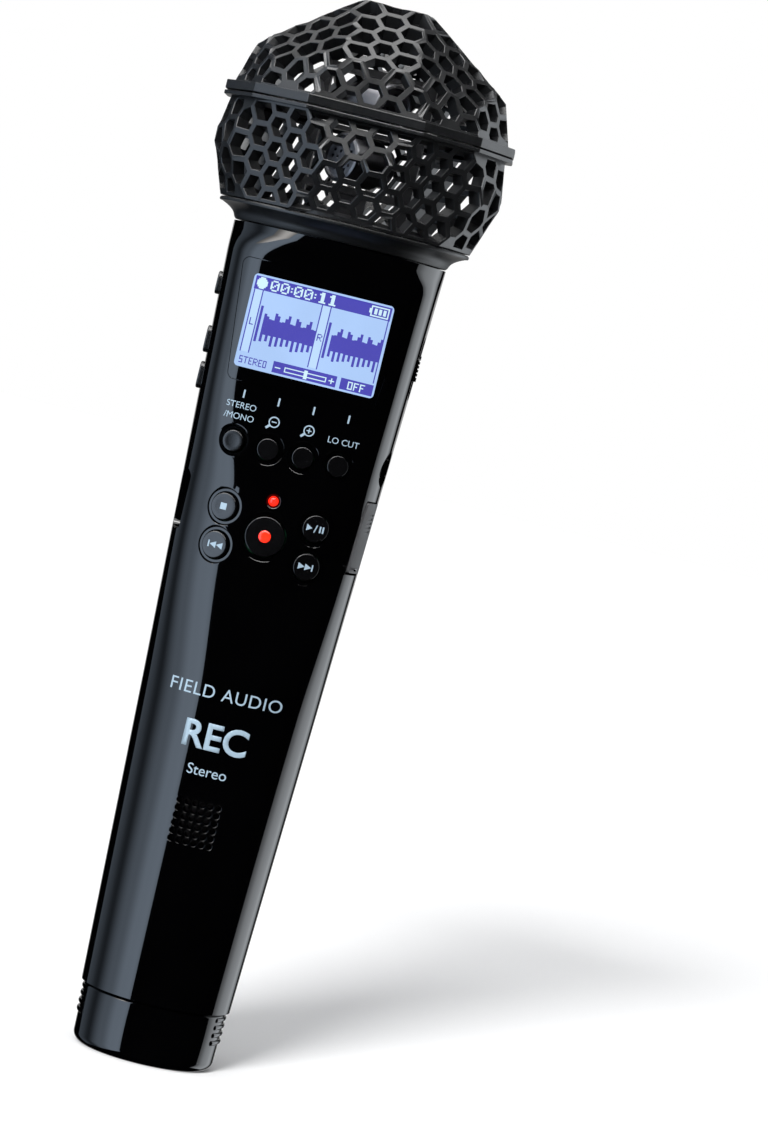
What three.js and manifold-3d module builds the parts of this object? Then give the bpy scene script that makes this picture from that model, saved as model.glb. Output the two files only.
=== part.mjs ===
// Portable field recorder: a microphone-shaped stereo recorder with a long tapering handle, a
// display and keys on the front, and two microphone capsules under an open honeycomb grille.
// Millimetres, +Z up. The origin is under the flat end cap, and the front faces -Y.
import * as THREE from 'three';
import { ConvexGeometry } from 'three/addons/geometries/ConvexGeometry.js';
import { mergeVertices } from 'three/addons/utils/BufferGeometryUtils.js';
import Module from 'manifold-3d';

const wasm = await Module();
wasm.setup();

// ---- driving dimensions ----
const GAP = 0.3;                     // clearance between touching pieces
const WALL = 2.4;                    // wall of the two handle shells
const CAP = { height: 12, radius: 14.5, floor: 2, bore: 7.9, spigot: 3.5 };
const GRIP = { heights: [6.4, 8.1, 9.8, 11.1], halfThick: 0.4, proud: 0.35, halfWidth: 7, root: 13 };
const HANDLE = { bottom: CAP.height + GAP, top: 166, radiusBottom: 15.2, radiusTop: 21.6 };
const FRONT_DROP = 3.3;              // how far the flat front lies behind a round one
const FRONT_FILL = 1.2;              // extra fullness that squares the front's corners
const FLAT_FROM = 40;                // the front starts to flatten here
const FLAT_FULL = 135;               // and is a true plane from here
const FLARE_FROM = 159.6;            // it swells back to round at the neck from here
const SEAM_Y = 5.85;                 // middle of the seam between front and rear shells
const COLLAR = { bottom: HANDLE.top + GAP, top: 170, lipRadius: 25.4, bore: 14.5, spigot: 1.5 };
const RING = { vertices: [23, 50, 80, 100, 130, 157], radius: 28.2, flangeRadius: 29.7 };
const LOWER_CAGE = { bottom: COLLAR.top + GAP, widest: 181, top: 189.6, flangeTop: 190.4 };
const UPPER_CAGE = { bottom: LOWER_CAGE.flangeTop + GAP, ringTop: 192.5, shoulder: 201, top: 214 };
const CAGE_WALL = 2.6;
const CELL_PITCH = 7.2;              // honeycomb cells, middle to middle
const CELL_RADIUS = 2.15;            // middle of a cell to its corner
const CAPSULE = { radius: 5, length: 12, backRadius: 4, backLength: 3, edge: 0.4, lowerZ: 183, upperZ: 194.4 };
const HOLDER = { x: 10.5, halfThick: 1, halfDepth: 3, top: 200, foot: 2.9 };
const HOLDER_BARS = [[176.2, 177.7], [188.25, 189.1], [199.7, 201.2]];
const WINDOW = { top: 159.4, bottom: 135.7, topHalf: 16.95, bottomHalf: 14.8, corner: 1.2, thick: 1.2 };
const SCREEN = { half: 14, bottom: 138.3, top: 156.7, border: 0.4 };
const MODULE = { half: 15.3, y: [-14.3, -12.2], border: 1.8 };
const KEY_PITCH = 7;
const KEY_Z = 123.9;
const RECORD_Z = 107.2;
const TRANSPORT_X = 9.2;
const TRANSPORT_Z = [111, 103.3];
const SOFT_KEY = { radius: 2.2, well: 3.1 };
const TRANSPORT_KEY = { radius: 2.75, well: 3.7 };
const RECORD_KEY = { radius: 4, well: 4.9 };
const KEY_PROUD = 0.35;
const KEY_EDGE = 0.3;
const WELL_DEPTH = 0.7;
const KEY_FLANGE = { wider: 0.7, thick: 0.7 };
const STEM = { radius: 1.1, endY: -12.7 };    // the front keys' stems end above their switches
const RECORD_LENS = { radius: 1.5, recess: 0.8, height: 1.2 };
const RECORD_LIGHT = { z: 114.3, radius: 0.95 };
const SIDE_KEYS = { menu_button: [150.9, 155.5], volume_up: [139.2, 144.6], volume_down: [132, 137.4] };
const SIDE_KEY = { y: -4, halfWidth: 1.5, proud: 0.7, flangeHalf: 2.3 };
const SWITCH = { z: 146, y: -4, halfSlot: 6.5, slotHalfWidth: 1.9, halfKnob: 2.6, knobHalfWidth: 1.5 };
const SWITCH_NECK = { half: 1.2, halfWidth: 0.65, slot: 5.4, slotHalfWidth: 1 };
const USB = { z: 110.3, y: -7.8, half: 4.5, halfWidth: 1.6, wall: 0.4, recessHalf: 6.2, recessHalfWidth: 3 };
const JACK = { z: 125.3, y: -6, radius: 3.5, bore: 1.75, shoulder: 14.5, back: 8.5 };
const COVER = { bottom: 103.6, top: 118.5, y: -7, halfWidth: 2.8, proud: 0.25, thick: 1.4 };
const PIN = { radius: 0.25, bore: 0.35, end: 1.2 };
const CARD = { x: [-0.6, 14.4], y: [-7.4, -6.6], z: [106.1, 117.1] };
const SOCKET_WALL = 1.2;             // round the memory card
const SPEAKER = { z: 49.3, radius: 8, holes: 6, pitch: 1.55, holeRadius: 0.6 };
const BOARD = { half: 12, y: [-11, -9.8], bottom: 98, top: 162 };
const FRAME_PLATE = { half: 12.2, y: [-9.2, -7.4], bottom: 130, top: 162 };
const CELL_AXIS_Y = 3.4;             // the battery tube lies a little behind the middle
const BATTERY = { radius: 7.25, length: 50.5, bottom: 5.5, stud: 2.75, studHeight: 1.3, edge: 0.6 };
const TUBE = { radius: 8.6, bore: 7.55, bottom: 16.5, top: 108.2, end: 3 };
const SPRING = { outer: 6.2, inner: 5.2 };
const SCREW = { x: 9.5, heights: [134, 157], headRadius: 1.9, headHeight: 1.1, shankRadius: 0.9 };
const SCREW_SEAT = 1.7;              // depth of each screw's seat below the rear surface
const SCREW_POST = { radius: 2.2, front: 8.5 };
const OUTSIDE = 30;                  // cutting tools end here, beyond every surface of the handle
const INSIDE = 14;                   // and start here, in its hollow

// ---- materials ----
const look = (color, roughness, metalness = 0) =>
  new THREE.MeshStandardMaterial({ color, roughness, metalness });
const GLOSS = [0x08080a, 0.12];
const MATT = [0x17171a, 0.55];
const METAL = [0xb9bcc2, 0.3, 1];

// ---- shape helpers ----
const rad = THREE.MathUtils.degToRad;

function solid(geometry) {
  const bare = geometry.clone();
  ['normal', 'uv'].forEach((name) => bare.deleteAttribute(name));
  const merged = mergeVertices(bare, 1e-4);
  const points = merged.attributes.position;
  const corner = (i) => new THREE.Vector3().fromBufferAttribute(points, i);
  const triangles = [];
  let volume = 0;
  for (let i = 0; i < merged.index.count; i += 3) {
    const [a, b, c] = [0, 1, 2].map((k) => merged.index.getX(i + k));
    if (a === b || b === c || a === c) continue;
    triangles.push(a, b, c);
    volume += corner(a).dot(corner(b).cross(corner(c)));
  }
  if (volume < 0) triangles.reverse();
  return new wasm.Manifold(new wasm.Mesh({
    numProp: 3, vertProperties: points.array, triVerts: new Uint32Array(triangles),
  }));
}

function geometryOf(manifold) {
  const mesh = manifold.getMesh();
  const geometry = new THREE.BufferGeometry();
  geometry.setAttribute('position', new THREE.BufferAttribute(mesh.vertProperties, 3));
  geometry.setIndex(new THREE.BufferAttribute(mesh.triVerts, 1));
  geometry.computeVertexNormals();
  return geometry;
}

const unite = (pieces) => pieces.reduce((sum, piece) => sum.add(piece));
const cut = (piece, tools) => tools.reduce((rest, tool) => rest.subtract(tool), piece);

function block(x, y, z) {
  const shape = new THREE.BoxGeometry(x[1] - x[0], y[1] - y[0], z[1] - z[0]);
  return solid(shape.translate((x[0] + x[1]) / 2, (y[0] + y[1]) / 2, (z[0] + z[1]) / 2));
}

// A body turned about +Z from [radius, height] points.
function turned(profile, segments = 16) {
  const points = profile.map(([radius, height]) => new THREE.Vector2(radius, height));
  return new THREE.LatheGeometry(points, segments).rotateX(Math.PI / 2);
}

function disc(radius, z0, z1, segments = 16) {
  return turned([[0, z0], [radius, z0], [radius, z1], [0, z1]], segments);
}

function tube(outer, inner, z0, z1, segments = 16) {
  return turned([[inner, z0], [outer, z0], [outer, z1], [inner, z1], [inner, z0]], segments);
}

// Turns a shape made about +Z so that it points out of the front, the back or the right side.
const FACING = {
  front: (shape) => shape.rotateX(Math.PI / 2),
  back: (shape) => shape.rotateX(-Math.PI / 2),
  right: (shape) => shape.rotateY(Math.PI / 2),
};

function roundedOutline(points, radius) {
  const shape = new THREE.Shape();
  const count = points.length;
  points.forEach((point, i) => {
    const here = new THREE.Vector2(...point);
    const towards = (other) => new THREE.Vector2(...other).sub(here).setLength(radius).add(here);
    const before = towards(points[(i + count - 1) % count]);
    const after = towards(points[(i + 1) % count]);
    if (i === 0) shape.moveTo(before.x, before.y);
    else shape.lineTo(before.x, before.y);
    shape.quadraticCurveTo(here.x, here.y, after.x, after.y);
  });
  shape.closePath();
  return shape;
}

function extruded(shape, from, to, curveSegments = 3) {
  const options = { depth: to - from, bevelEnabled: false, curveSegments };
  return new THREE.ExtrudeGeometry(shape, options).translate(0, 0, from);
}

// A bar with round ends that stands out of a side, its length along +Z.
function sideBar(side, z, y, halfWidth, from, to) {
  const ends = [[y - halfWidth, z[0]], [y + halfWidth, z[0]], [y + halfWidth, z[1]], [y - halfWidth, z[1]]];
  const bar = extruded(roundedOutline(ends, halfWidth * 0.8), from, to);
  bar.applyMatrix4(new THREE.Matrix4().makeBasis(
    new THREE.Vector3(0, 1, 0), new THREE.Vector3(0, 0, 1), new THREE.Vector3(1, 0, 0)));
  return side === 'right' ? bar : bar.scale(-1, 1, 1);
}

// ---- handle section ----
const ease = (t) => THREE.MathUtils.smoothstep(t, 0, 1);
const TAPER = (HANDLE.radiusTop - HANDLE.radiusBottom) / (HANDLE.top - HANDLE.bottom);
const halfWidth = (z) => HANDLE.radiusBottom + (z - HANDLE.bottom) * TAPER;
const flatShare = (z) => ease((z - FLAT_FROM) / (FLAT_FULL - FLAT_FROM))
  * (1 - ease((z - FLARE_FROM) / (HANDLE.top - FLARE_FROM)));
const frontDepth = (z) => halfWidth(z) - FRONT_DROP * flatShare(z);

function handlePoint(angle, z, inset) {
  const share = flatShare(z);
  const half = halfWidth(z) - inset;
  const [c, s] = [Math.cos(angle), Math.sin(angle)].map((v) => (Math.abs(v) < 1e-6 ? 0 : v));
  if (s >= 0) return [half * c, half * s];
  const power = 2 / (2 + 4 * share);
  const full = frontDepth(z) + FRONT_FILL * share - inset;
  const x = half * Math.sign(c) * Math.abs(c) ** power;
  return [x, -Math.min(full * Math.abs(s) ** power, frontDepth(z) - inset)];
}

const HANDLE_LEVELS = [HANDLE.bottom, 40, 62, 84, 104, 120, FLAT_FULL, FLARE_FROM, 162, 164.2, HANDLE.top];

// The handle's outer body, `inset` inside its surface, as a turned blank drawn onto the section.
function handleBody(inset, bottom = HANDLE.bottom, top = HANDLE.top) {
  const levels = HANDLE_LEVELS.filter((z) => z > bottom && z < top);
  const heights = [bottom, ...levels, top];
  const blank = turned([[0, bottom], ...heights.map((z) => [1, z]), [0, top]], 36);
  const points = blank.attributes.position;
  for (let i = 0; i < points.count; i += 1) {
    const [x, y, z] = [points.getX(i), points.getY(i), points.getZ(i)];
    if (Math.hypot(x, y) < 0.5) continue;
    const at = Math.min(Math.max(z, HANDLE.bottom), HANDLE.top);
    const [px, py] = handlePoint(Math.atan2(y, x), at, inset);
    points.setXY(i, px, py);
  }
  return solid(blank);
}

const hollow = (inset) => handleBody(inset, HANDLE.bottom - 2, HANDLE.top + 4);
const skin = (outside, inside) => handleBody(outside).subtract(hollow(inside));

// ---- honeycomb cages ----
// A facet leans outwards by `lift` degrees and stands `reach` from the axis at height z.
function facet(azimuth, lift, reach, z) {
  const flat = new THREE.Vector3(Math.sin(rad(azimuth)), -Math.cos(rad(azimuth)), 0);
  const normal = flat.clone().multiplyScalar(Math.cos(rad(lift)));
  normal.z = Math.sin(rad(lift));
  const distance = normal.dot(flat.multiplyScalar(reach).setZ(z));
  return { normal, distance };
}

const level = (z, up) => ({ normal: new THREE.Vector3(0, 0, up), distance: z * up });
const around = (azimuths, lift, reach, z) => azimuths.map((azimuth) => facet(azimuth, lift, reach, z));
const FRONT_BACK = [0, 180];
const SIDES = [90, -90];
const quarters = (azimuth) => [azimuth, -azimuth, 180 - azimuth, azimuth - 180];
const edgeReach = (radius, halfSpan) => radius * Math.cos(rad(halfSpan));

const LOWER_FACETS = [
  ...around(FRONT_BACK, 16.1, edgeReach(RING.radius, 23), LOWER_CAGE.top),
  ...around(FRONT_BACK, -24.1, 28.45, LOWER_CAGE.widest),
  ...around(quarters(37), -7.2, edgeReach(RING.radius, 13.5), LOWER_CAGE.top),
  ...around(quarters(65), 12.6, edgeReach(RING.radius, 15), LOWER_CAGE.top),
  ...around(quarters(65), -22, 29.16, LOWER_CAGE.widest),
  ...around(SIDES, 8.8, edgeReach(RING.radius, 10), LOWER_CAGE.top),
  ...around(SIDES, -19.5, 29.1, LOWER_CAGE.widest),
];
const UPPER_FACETS = [
  ...around(FRONT_BACK, 12.5, edgeReach(RING.radius, 23), UPPER_CAGE.ringTop),
  ...around(FRONT_BACK, 53.5, 24.1, UPPER_CAGE.shoulder),
  ...around(quarters(37), 22, edgeReach(RING.radius, 13.5), UPPER_CAGE.ringTop),
  ...around(quarters(45), 47, 22.6, UPPER_CAGE.shoulder),
  ...around(quarters(65), 18, edgeReach(RING.radius, 15), UPPER_CAGE.ringTop),
  ...around(SIDES, 17, edgeReach(RING.radius, 10), UPPER_CAGE.ringTop),
  ...around(SIDES, 54, 25.2, UPPER_CAGE.shoulder),
  level(UPPER_CAGE.top, 1),
];

// Corners of the body that all the planes enclose, each with the planes it lies on.
function corners(planes) {
  const found = [];
  const pick = (i, j, k) => [planes[i], planes[j], planes[k]];
  for (let i = 0; i < planes.length; i += 1) {
    for (let j = i + 1; j < planes.length; j += 1) {
      for (let k = j + 1; k < planes.length; k += 1) {
        const [a, b, c] = pick(i, j, k);
        const cross = b.normal.clone().cross(c.normal);
        const scale = a.normal.dot(cross);
        if (Math.abs(scale) < 1e-6) continue;
        const point = cross.multiplyScalar(a.distance)
          .add(c.normal.clone().cross(a.normal).multiplyScalar(b.distance))
          .add(a.normal.clone().cross(b.normal).multiplyScalar(c.distance))
          .divideScalar(scale);
        if (planes.every((plane) => plane.normal.dot(point) < plane.distance + 1e-5)) found.push(point);
      }
    }
  }
  return found;
}

const enclosed = (planes) => solid(new ConvexGeometry(corners(planes)));
const movedIn = (planes, depth) => planes.map((plane) => ({ ...plane, distance: plane.distance - depth }));

// The hexagonal cells that fit whole on one facet, as prisms through the wall.
function cellsOn(plane, planes) {
  const onPlane = corners(planes).filter((p) => Math.abs(plane.normal.dot(p) - plane.distance) < 1e-4);
  const across = new THREE.Vector3(0, 0, 1).cross(plane.normal);
  if (across.length() < 0.1) across.set(1, 0, 0);
  across.normalize();
  const up = plane.normal.clone().cross(across);
  const middle = onPlane.reduce((sum, p) => sum.add(p), new THREE.Vector3()).divideScalar(onPlane.length);
  const turn = new THREE.Matrix4().makeBasis(across, up, plane.normal);
  const room = CELL_RADIUS * 0.97;
  const cells = [];
  for (let column = -4; column <= 4; column += 1) {
    for (let row = -4; row <= 4; row += 1) {
      const rise = (row + (column % 2 ? 0.5 : 0)) * CELL_PITCH;
      const centre = middle.clone().addScaledVector(across, column * CELL_PITCH * Math.sqrt(0.75));
      centre.addScaledVector(up, rise);
      const fits = planes.every((other) => {
        if (other === plane) return true;
        const lean = Math.sqrt(Math.max(1 - other.normal.dot(plane.normal) ** 2, 1e-9));
        return (other.distance - other.normal.dot(centre)) / lean > room;
      });
      if (!fits) continue;
      const prism = new THREE.CylinderGeometry(CELL_RADIUS, CELL_RADIUS, CAGE_WALL * 4, 6);
      prism.rotateX(Math.PI / 2).rotateZ(Math.PI / 2).applyMatrix4(turn);
      cells.push(solid(prism.translate(centre.x, centre.y, centre.z)));
    }
  }
  return cells;
}

function ringOutline(radius) {
  const angles = RING.vertices.flatMap((azimuth) => [azimuth, -azimuth]);
  return angles.map((azimuth) => [radius * Math.sin(rad(azimuth)), -radius * Math.cos(rad(azimuth))]);
}

function ringPlate(radius, z0, z1) {
  const points = ringOutline(radius).flatMap(([x, y]) => [z0, z1].map((z) => new THREE.Vector3(x, y, z)));
  return solid(new ConvexGeometry(points));
}

function cage(facets, bottom, top, inner, flange) {
  const planes = [...facets, level(bottom, -1), level(top, 1)];
  const inside = [...movedIn(facets, CAGE_WALL), level(inner[0], -1), level(inner[1], 1)];
  const cells = facets.flatMap((plane) => cellsOn(plane, planes));
  const core = enclosed(inside);
  const shell = cut(enclosed(planes), cells);
  return cut(shell.add(ringPlate(RING.flangeRadius, ...flange)), [core]);
}

function lowerGrille() {
  const { bottom, top, flangeTop } = LOWER_CAGE;
  return cage(LOWER_FACETS, bottom, top, [bottom - 5, flangeTop + 5], [top - 0.1, flangeTop]);
}

function upperGrille() {
  const { bottom, ringTop, top } = UPPER_CAGE;
  return cage(UPPER_FACETS, bottom, top, [bottom - 5, top], [bottom, ringTop]);
}

// ---- neck and microphone pieces ----
function neckCollar() {
  const { bottom, top, lipRadius, bore, spigot } = COLLAR;
  const spigotRadius = HANDLE.radiusTop - WALL - 4 * GAP;
  return solid(turned([
    [bore, bottom - spigot], [spigotRadius, bottom - spigot], [spigotRadius, bottom],
    [HANDLE.radiusTop, bottom],
    [HANDLE.radiusTop + 0.5, bottom + 1.2], [HANDLE.radiusTop + 1.8, bottom + 2.3],
    [lipRadius, bottom + 3.1], [lipRadius, top], [bore, top], [bore, bottom - spigot],
  ], 32));
}

function capsule(z, azimuth) {
  const { radius, backRadius, backLength, edge } = CAPSULE;
  const front = CAPSULE.length / 2;
  const profile = [
    [0, -front], [backRadius, -front], [backRadius, backLength - front], [radius, backLength - front],
    [radius, front - edge], [radius - edge, front], [0, front],
  ];
  return solid(FACING.front(turned(profile, 20)).rotateZ(rad(azimuth)).translate(0, 0, z));
}

function capsuleHolder() {
  const { x, halfThick, halfDepth, top, foot } = HOLDER;
  const base = COLLAR.bottom + GAP;
  const rise = [base + foot / 2, top];
  const depth = [-halfDepth, halfDepth];
  const bars = HOLDER_BARS.map((span) => block([-x - halfThick, x + halfThick], depth, span));
  return unite([
    solid(disc(COLLAR.bore - GAP, base, base + foot, 32)), ...bars,
    block([-x - halfThick, halfThick - x], depth, rise), block([x - halfThick, x + halfThick], depth, rise),
    block([-halfDepth, halfDepth], [-2.5, 2.5], [rise[0], HOLDER_BARS[0][1]]),
  ]);
}

// ---- handle shells ----
const windowOutline = (grow) => roundedOutline([
  [-WINDOW.bottomHalf - grow, WINDOW.bottom - grow], [WINDOW.bottomHalf + grow, WINDOW.bottom - grow],
  [WINDOW.topHalf + grow, WINDOW.top + grow], [-WINDOW.topHalf - grow, WINDOW.top + grow],
], WINDOW.corner + grow);

// A straight prism that runs in from the front, as far as depth y1.
const frontPrism = (shape, y0, y1) => solid(extruded(shape, -y1, -y0).rotateX(Math.PI / 2));
const frontHole = (radius, x, z, y0, y1, segments = 12) =>
  solid(FACING.front(disc(radius, -y1, -y0, segments)).translate(x, 0, z));

const FRONT_KEYS = {
  key_stereo_mono: { x: -1.5 * KEY_PITCH, z: KEY_Z, ...SOFT_KEY },
  key_zoom_out: { x: -0.5 * KEY_PITCH, z: KEY_Z, ...SOFT_KEY },
  key_zoom_in: { x: 0.5 * KEY_PITCH, z: KEY_Z, ...SOFT_KEY },
  key_low_cut: { x: 1.5 * KEY_PITCH, z: KEY_Z, ...SOFT_KEY },
  stop_button: { x: -TRANSPORT_X, z: TRANSPORT_Z[0], ...TRANSPORT_KEY },
  rewind_button: { x: -TRANSPORT_X, z: TRANSPORT_Z[1], ...TRANSPORT_KEY },
  play_button: { x: TRANSPORT_X, z: TRANSPORT_Z[0], ...TRANSPORT_KEY },
  forward_button: { x: TRANSPORT_X, z: TRANSPORT_Z[1], ...TRANSPORT_KEY },
  record_button: { x: 0, z: RECORD_Z, ...RECORD_KEY },
};

function keyCuts() {
  return Object.values(FRONT_KEYS).flatMap(({ x, z, radius, well }) => {
    const face = -frontDepth(z);
    return [
      frontHole(well, x, z, face - WALL, face + WELL_DEPTH),
      frontHole(radius + GAP, x, z, -OUTSIDE, face + 2 * WALL),
    ];
  });
}

function speakerHoles() {
  const { z, holes, pitch, holeRadius } = SPEAKER;
  const places = Array.from({ length: holes }, (_, k) => (k - (holes - 1) / 2) * pitch);
  return places.flatMap((x) => places.map((rise) => frontHole(holeRadius, x, z + rise, -OUTSIDE, -10, 4)));
}

const coverBox = (grow) => block(
  [10, OUTSIDE], [COVER.y - COVER.halfWidth - grow, COVER.y + COVER.halfWidth + grow],
  [COVER.bottom + GAP - grow * 1.6, COVER.top - GAP + grow]);
// The cover turns on a pin near its lower edge, just under the side's surface.
const COVER_HINGE = { x: halfWidth(COVER.bottom) - 0.5, z: COVER.bottom + GAP + 0.8 };
const hingeRod = (radius, reach) => solid(FACING.front(disc(radius, -COVER.y - reach, -COVER.y + reach, 8))
  .translate(COVER_HINGE.x, 0, COVER_HINGE.z));

function sideCuts() {
  const { z, y, halfSlot, slotHalfWidth } = SWITCH;
  const { recessHalf, recessHalfWidth } = USB;
  const portRoom = USB.half + GAP;
  const bar = (side, middle, half, ...rest) => solid(sideBar(side, [middle - half, middle + half], ...rest));
  const keys = Object.values(SIDE_KEYS).map(([z0, z1]) =>
    solid(sideBar('left', [z0 - GAP, z1 + GAP], SIDE_KEY.y, SIDE_KEY.halfWidth + GAP, INSIDE, OUTSIDE)));
  return [
    ...keys, coverBox(GAP), hingeRod(PIN.bore, COVER.halfWidth + PIN.end + GAP),
    bar('left', USB.z, recessHalf, USB.y, recessHalfWidth, halfWidth(USB.z) - 1, OUTSIDE),
    bar('left', USB.z, portRoom, USB.y, USB.halfWidth + GAP, 10, OUTSIDE),
    solid(FACING.right(disc(JACK.radius + GAP, INSIDE, OUTSIDE)).translate(0, JACK.y, JACK.z)),
    bar('right', z, halfSlot, y, slotHalfWidth, halfWidth(z) - 1.3, OUTSIDE),
    bar('right', z, SWITCH_NECK.slot, y, SWITCH_NECK.slotHalfWidth, INSIDE, OUTSIDE),
  ];
}

const screwSeat = (z) => Math.sqrt(halfWidth(z) ** 2 - SCREW.x ** 2) - SCREW_SEAT;
const postEnd = (z) => Math.sqrt((halfWidth(z) - WALL) ** 2 - (SCREW.x + SCREW_POST.radius) ** 2) - GAP;

function screwCuts() {
  return SCREW.heights.flatMap((z) => [-SCREW.x, SCREW.x].flatMap((x) => {
    const hole = (radius, y0, y1) => solid(FACING.back(disc(radius, y0, y1, 16)).translate(x, 0, z));
    return [
      hole(SCREW.headRadius + GAP, screwSeat(z), OUTSIDE), hole(SCREW.shankRadius + GAP, 8, OUTSIDE),
    ];
  }));
}

const halfSpace = (y0, y1) => block([-OUTSIDE, OUTSIDE], [y0, y1], [0, HANDLE.top + 10]);

function frontShell() {
  const { half, bottom, top, border } = SCREEN;
  const pocket = frontPrism(windowOutline(GAP), -OUTSIDE, 0).intersect(skin(-1, WINDOW.thick + GAP));
  const opening = block([-half - border, half + border], [-OUTSIDE, -5], [bottom - border, top + border]);
  const light = frontHole(RECORD_LIGHT.radius + GAP, 0, RECORD_LIGHT.z, -OUTSIDE, -5);
  const front = skin(0, WALL).intersect(halfSpace(-OUTSIDE, SEAM_Y - GAP / 2));
  return cut(front, [pocket, opening, light, ...keyCuts(), ...speakerHoles(), ...sideCuts()]);
}

function rearShell() {
  const rear = skin(0, WALL).intersect(halfSpace(SEAM_Y + GAP / 2, OUTSIDE));
  return cut(rear, screwCuts());
}

const displayWindow = () => frontPrism(windowOutline(0), -OUTSIDE, 0).intersect(skin(0, WINDOW.thick));

const displayModule = () => block(
  [-MODULE.half, MODULE.half], MODULE.y, [SCREEN.bottom - MODULE.border, SCREEN.top + MODULE.border]);

// ---- keys and lights ----
function frontKey({ x, z, radius }) {
  const face = frontDepth(z);
  const top = face + KEY_PROUD;
  const under = face - WALL - GAP;     // the flange bears on the shell's inner face
  const flange = { radius: radius + KEY_FLANGE.wider, back: under - KEY_FLANGE.thick };
  const shape = turned([
    [0, -STEM.endY], [STEM.radius, -STEM.endY], [STEM.radius, flange.back], [flange.radius, flange.back],
    [flange.radius, under], [radius, under], [radius, top - KEY_EDGE], [radius - KEY_EDGE, top], [0, top],
  ], 12);
  return solid(FACING.front(shape).translate(x, 0, z));
}

function recordButton() {
  const floor = frontDepth(RECORD_Z) + KEY_PROUD - RECORD_LENS.recess;
  const recess = frontHole(RECORD_LENS.radius + GAP, 0, RECORD_Z, -OUTSIDE, -floor);
  return frontKey(FRONT_KEYS.record_button).subtract(recess);
}

function recordLens() {
  const { radius, recess, height } = RECORD_LENS;
  const seat = frontDepth(RECORD_Z) + KEY_PROUD - recess + 0.1;
  const top = seat + height;
  const profile = [[0, seat], [radius, seat], [radius, top - 0.4], [radius - 0.5, top - 0.1], [0, top]];
  const shape = turned(profile, 12);
  return solid(FACING.front(shape).translate(0, 0, RECORD_Z));
}

function recordLight() {
  const face = frontDepth(RECORD_LIGHT.z);
  return frontHole(RECORD_LIGHT.radius, 0, RECORD_LIGHT.z, -face - 0.1, STEM.endY);
}

function sideKey([z0, z1]) {
  const { y, halfWidth: half, proud, flangeHalf } = SIDE_KEY;
  const face = halfWidth((z0 + z1) / 2);
  const inner = face - WALL;
  const bar = solid(sideBar('left', [z0, z1], y, half, inner - 1, face + proud));
  return bar.add(solid(sideBar('left', [z0 - 0.8, z1 + 0.8], y, flangeHalf, inner - 1.5, inner - 0.6)));
}

function powerSwitch() {
  const { z, y, halfKnob, knobHalfWidth } = SWITCH;
  const face = halfWidth(z);
  const inner = face - WALL;
  const { half, halfWidth: neckHalf } = SWITCH_NECK;
  const knob = solid(sideBar('right', [z - halfKnob, z + halfKnob], y, knobHalfWidth, face - 1, face + 0.3));
  const neck = solid(sideBar('right', [z - half, z + half], y, neckHalf, inner - 1.5, face - 0.9));
  return unite([knob, neck, block([inner - 2.2, inner - 1], [y - 1.6, y + 1.6], [z - 1.8, z + 1.8])]);
}

// ---- sockets, card and cover ----
function usbSocket() {
  const { z, y, half, halfWidth: across, wall } = USB;
  const [back, mouth] = [11.2, halfWidth(z) - 1];
  const outer = solid(sideBar('left', [z - half, z + half], y, across, back, mouth));
  const room = half - wall;
  const inner = solid(sideBar('left', [z - room, z + room], y, across - wall, back + 1, OUTSIDE));
  const tongue = block([-mouth + 0.8, -back - 0.6], [y - 0.35, y + 0.35], [z - 3.3, z + 3.3]);
  return outer.subtract(inner).add(tongue);
}

function lineOutJack() {
  const { radius, bore, shoulder, back } = JACK;
  const face = halfWidth(JACK.z) - 0.2;
  const shape = turned([
    [0, back], [radius - 0.5, back], [radius - 0.5, shoulder], [radius, shoulder], [radius, face],
    [bore, face], [bore, back + 1], [0, back + 1],
  ]);
  return solid(FACING.right(shape).translate(0, JACK.y, JACK.z));
}

function cardCover() {
  const lid = coverBox(0).intersect(skin(-COVER.proud, COVER.thick));
  return lid.subtract(hingeRod(PIN.bore, COVER.halfWidth + PIN.end + GAP));
}
const coverPin = () => hingeRod(PIN.radius, COVER.halfWidth + PIN.end);

function memoryCard() {
  const { x, y, z } = CARD;
  return block(x, y, z);
}

function cardSocket() {
  const { x, y, z } = CARD;
  const ends = [z[0] - SOCKET_WALL, z[1] + SOCKET_WALL];
  const shell = block([x[0] - SOCKET_WALL, x[1] - 1], [y[0] - 1, y[1] + 1], ends);
  return shell.subtract(block([x[0] - GAP, OUTSIDE], [y[0] - GAP, y[1] + GAP], [z[0] - GAP, z[1] + GAP]));
}

// ---- board, frame, speaker and batteries ----
function mainBoard() {
  const { half, y, bottom, top } = BOARD;
  const plate = block([-half, half], y, [bottom, top]);
  const tact = 1.6;                    // half the side of each key's switch
  const switches = Object.values(FRONT_KEYS).map((key) =>
    block([key.x - tact, key.x + tact], [STEM.endY + 0.75, y[0] + 0.1], [key.z - tact, key.z + tact]));
  return unite([plate, ...switches]);
}

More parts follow.
